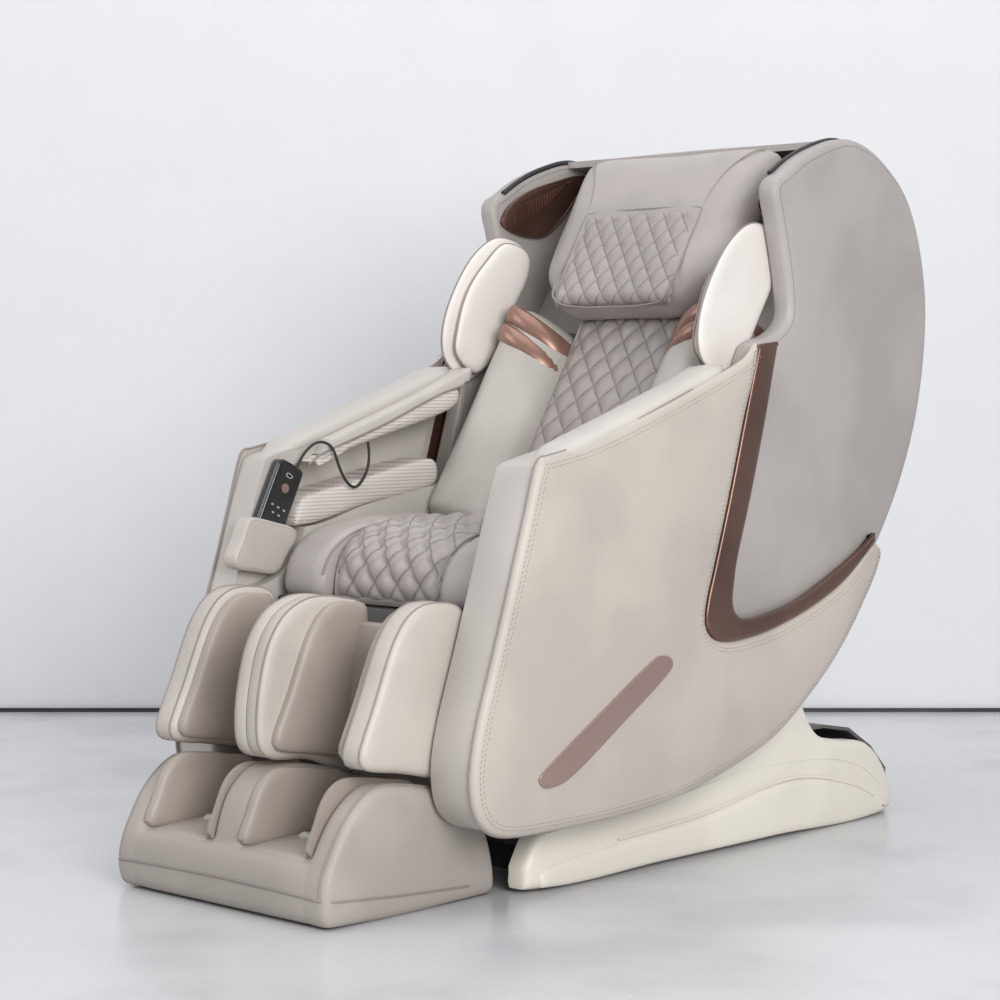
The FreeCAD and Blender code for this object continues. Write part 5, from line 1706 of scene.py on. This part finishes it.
@dataclass
class Footrest:
    """Foot unit: one soft shell with two wells and their pads."""

    shop: Workshop

    def build(self) -> None:
        """Make the foot unit."""
        verts: list[Triple] = []
        faces: list[Sequence[int]] = []
        wall, centre, sole = (smooth(line, True, 12) for line in (FOOT_TOP, FOOT_CENTRE, SOLE))
        parts = [padded_slab(sole, Crown(190.0, 0.0, width=3.0), Crown(-190.0, 0.0, width=3.0), 30.0),
                 padded_slab(centre, Crown(24.0, 10.0, 0.0, 60.0, 16.0),
                             Crown(-24.0, 10.0, 0.0, 60.0, 16.0), 20.0)]
        for side in (1, -1):
            parts.append(padded_slab(wall, Crown(side * 230.0, 11.0, 2.0, 60.0, 20.0),
                                     Crown(side * 201.0, 13.0, 0.0, 60.0, 18.0), 20.0))
        for mesh in parts:
            shift = len(verts)
            verts += mesh[0]
            faces += [[index + shift for index in item] for item in mesh[1]]
        body = self.shop.piece("foot_shell_skin", (verts, faces), FOOT, "footrest", ["foot_shell"])
        self.shop.melt(body, 5.0, 8)
        self.shop.dress(body, FOOT, "footrest", ["foot_shell"])
        pad = smooth(FOOT_PAD, True, 11)
        for name, side in SIDES:
            well_pads(self.shop, "foot", "footrest", (name, side), pad)
            tread = smooth([(-700, 88), (-698, 94), (-684, 99), (-600, 104), (-520, 105), (-500, 101),
                            (-500, 92),
                            (-600, 88)], True, 9)
            slab = padded_slab(tread, Crown(side * 170.0, 3.0, 0.0, 20.0, 6.0),
                               Crown(side * 53.0, 3.0, 0.0, 20.0, 6.0), 16.0)
            self.shop.piece(f"foot_tread_{name}", slab, FOOT, "footrest", slot="beige_leather")
        hem = [(-243.5, -420, 24), (-244.5, -560, 32), (-242.5, -660, 40), (-231, -705, 44),
               (-192, -719, 47), (0, -720, 50),
               (192, -719, 47), (231, -705, 44), (242.5, -660, 40), (244.5, -560, 32), (243.5, -420, 24)]
        tree = BVHTree.FromPolygons([tuple(vert.co) for vert in body.data.vertices],
                                    [tuple(face.vertices) for face in body.data.polygons])
        self.seam("foot_piping", smooth(hem, False, 10), tree)
        for name, side in SIDES:
            line = smooth([(side * 228.0, *pair) for pair in [(-712, 50), *FOOT_TOP[3:13]]], False, 10)
            self.seam(f"foot_seam_{name}", line, tree)

    def seam(self, name: str, line: np.ndarray, tree: BVHTree) -> None:
        """Lay a piped seam on the foot unit's leather.

        Args:
            name: Its name.
            line: Its rough run.
            tree: Search tree of the leather.
        """
        fitted = []
        for row in line:
            spot, normal, _, _ = tree.find_nearest(Vector(row) * MM)
            fitted.append(tuple((spot + normal * 0.0006) / MM))
        self.shop.tube(name, np.array(fitted), 1.8, PIPING, "footrest", "champagne_leather")


# ---------------------------------------------------------------- studio
@dataclass
class Studio:
    """Camera, floor, wall and soft lights."""

    shop: Workshop
    eye: Triple = (2.737, -3.027, 0.783)
    azimuth: float = 42.99
    pitch: float = -2.72
    lens: float = 86.2

    def build(self) -> None:
        """Set the scene up."""
        turn, tip = math.radians(self.azimuth), math.radians(self.pitch)
        look = Vector((-math.sin(turn) * math.cos(tip), math.cos(turn) * math.cos(tip), math.sin(tip)))
        camera = bpy.data.objects.new("camera", bpy.data.cameras.new("camera"))
        camera.data.lens = self.lens
        camera.data.sensor_width = 36.0
        camera.location = self.eye
        camera.rotation_euler = look.to_track_quat("-Z", "Y").to_euler()
        bpy.context.collection.objects.link(camera)
        bpy.context.scene.camera = camera
        self.plane("floor", [(-9, -9, 0), (9, -9, 0), (9, 9, 0), (-9, 9, 0)], FLOOR)
        flat = Vector((look.x, look.y, 0)).normalized()
        foot = Vector((self.eye[0], self.eye[1], 0)) + flat * 5.74
        along = Vector((-flat.y, flat.x, 0)) * 7.0
        up = Vector((0, 0, 5))
        self.plane("skirting", [foot - flat * 0.01 - along, foot - flat * 0.01 + along,
                                foot - flat * 0.01 + along + up * 0.002,
                                foot - flat * 0.01 - along + up * 0.002], PAINT)
        self.plane("wall", [foot + along, foot - along, foot - along + up, foot + along + up], WALL)
        self.one_sided(self.shop.material(WALL))
        self.light("key", (-1.9, -3.2, 3.3), (0, 0, 0.5), 2.6, 46.0)
        self.light("fill", (3.9, -2.2, 1.9), (0, 0, 0.45), 2.2, 150.0)
        self.light("top", (0.3, 0.2, 3.8), (0, 0, 0.4), 3.0, 40.0)
        world = bpy.data.worlds.new("studio")
        world.use_nodes = True
        world.node_tree.nodes["Background"].inputs["Color"].default_value = (0.93, 0.95, 1.0, 1.0)
        world.node_tree.nodes["Background"].inputs["Strength"].default_value = 0.48
        bpy.context.scene.world = world
        bpy.context.scene.view_settings.view_transform = "Standard"

    def one_sided(self, material: bpy.types.Material) -> None:
        """Show a backdrop only to what stands in front of it.

        Args:
            material: Its material.
        """
        tree = material.node_tree
        output = next(node for node in tree.nodes if node.type == "OUTPUT_MATERIAL")
        solid = output.inputs["Surface"].links[0].from_socket
        clear, mix, face = (tree.nodes.new(kind) for kind in
                            ("ShaderNodeBsdfTransparent", "ShaderNodeMixShader", "ShaderNodeNewGeometry"))
        tree.links.new(face.outputs["Backfacing"], mix.inputs[0])
        tree.links.new(solid, mix.inputs[1])
        tree.links.new(clear.outputs[0], mix.inputs[2])
        tree.links.new(mix.outputs[0], output.inputs["Surface"])

    def plane(self, name: str, corners: Sequence[Sequence[float]], finish: Finish) -> None:
        """Add a plain backdrop plane.

        Args:
            name: Its name.
            corners: Its corners in metres.
            finish: Its finish.
        """
        data = bpy.data.meshes.new(name)
        data.from_pydata([tuple(corner) for corner in corners], [], [(0, 1, 2, 3)])
        data.materials.append(self.shop.material(finish))
        made = bpy.data.objects.new(name, data)
        bpy.context.collection.objects.link(made)

    def light(self, name: str, place: Triple, target: Triple, size: float, power: float) -> None:
        """Add a square soft light.

        Args:
            name: Its name.
            place: Where it stands, in metres.
            target: What it faces.
            size: Its side in metres.
            power: Its power in watts.
        """
        data = bpy.data.lights.new(name, "AREA")
        data.size = size
        data.energy = power
        lamp = bpy.data.objects.new(name, data)
        lamp.location = place
        lamp.rotation_euler = (Vector(target) - Vector(place)).to_track_quat("-Z", "Y").to_euler()
        bpy.context.collection.objects.link(lamp)


def main() -> None:
    """Dress the frame piece by piece."""
    logging.basicConfig(level=logging.INFO, format="%(message)s")
    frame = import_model()
    shop = Workshop(frame)
    for node, finish in NODE_FINISHES.items():
        data = frame["nodes"][node]
        for slot in data.material_slots:
            slot.material = shop.material(finish)
    Studio(shop).build()
    for unit in (Remote, Base, Arms, Seat, Backrest, Pillow, Legrest, Footrest):
        unit(shop).build()
        LOG.info("%s built", unit.__name__)


if __name__ == "__main__":
    main()
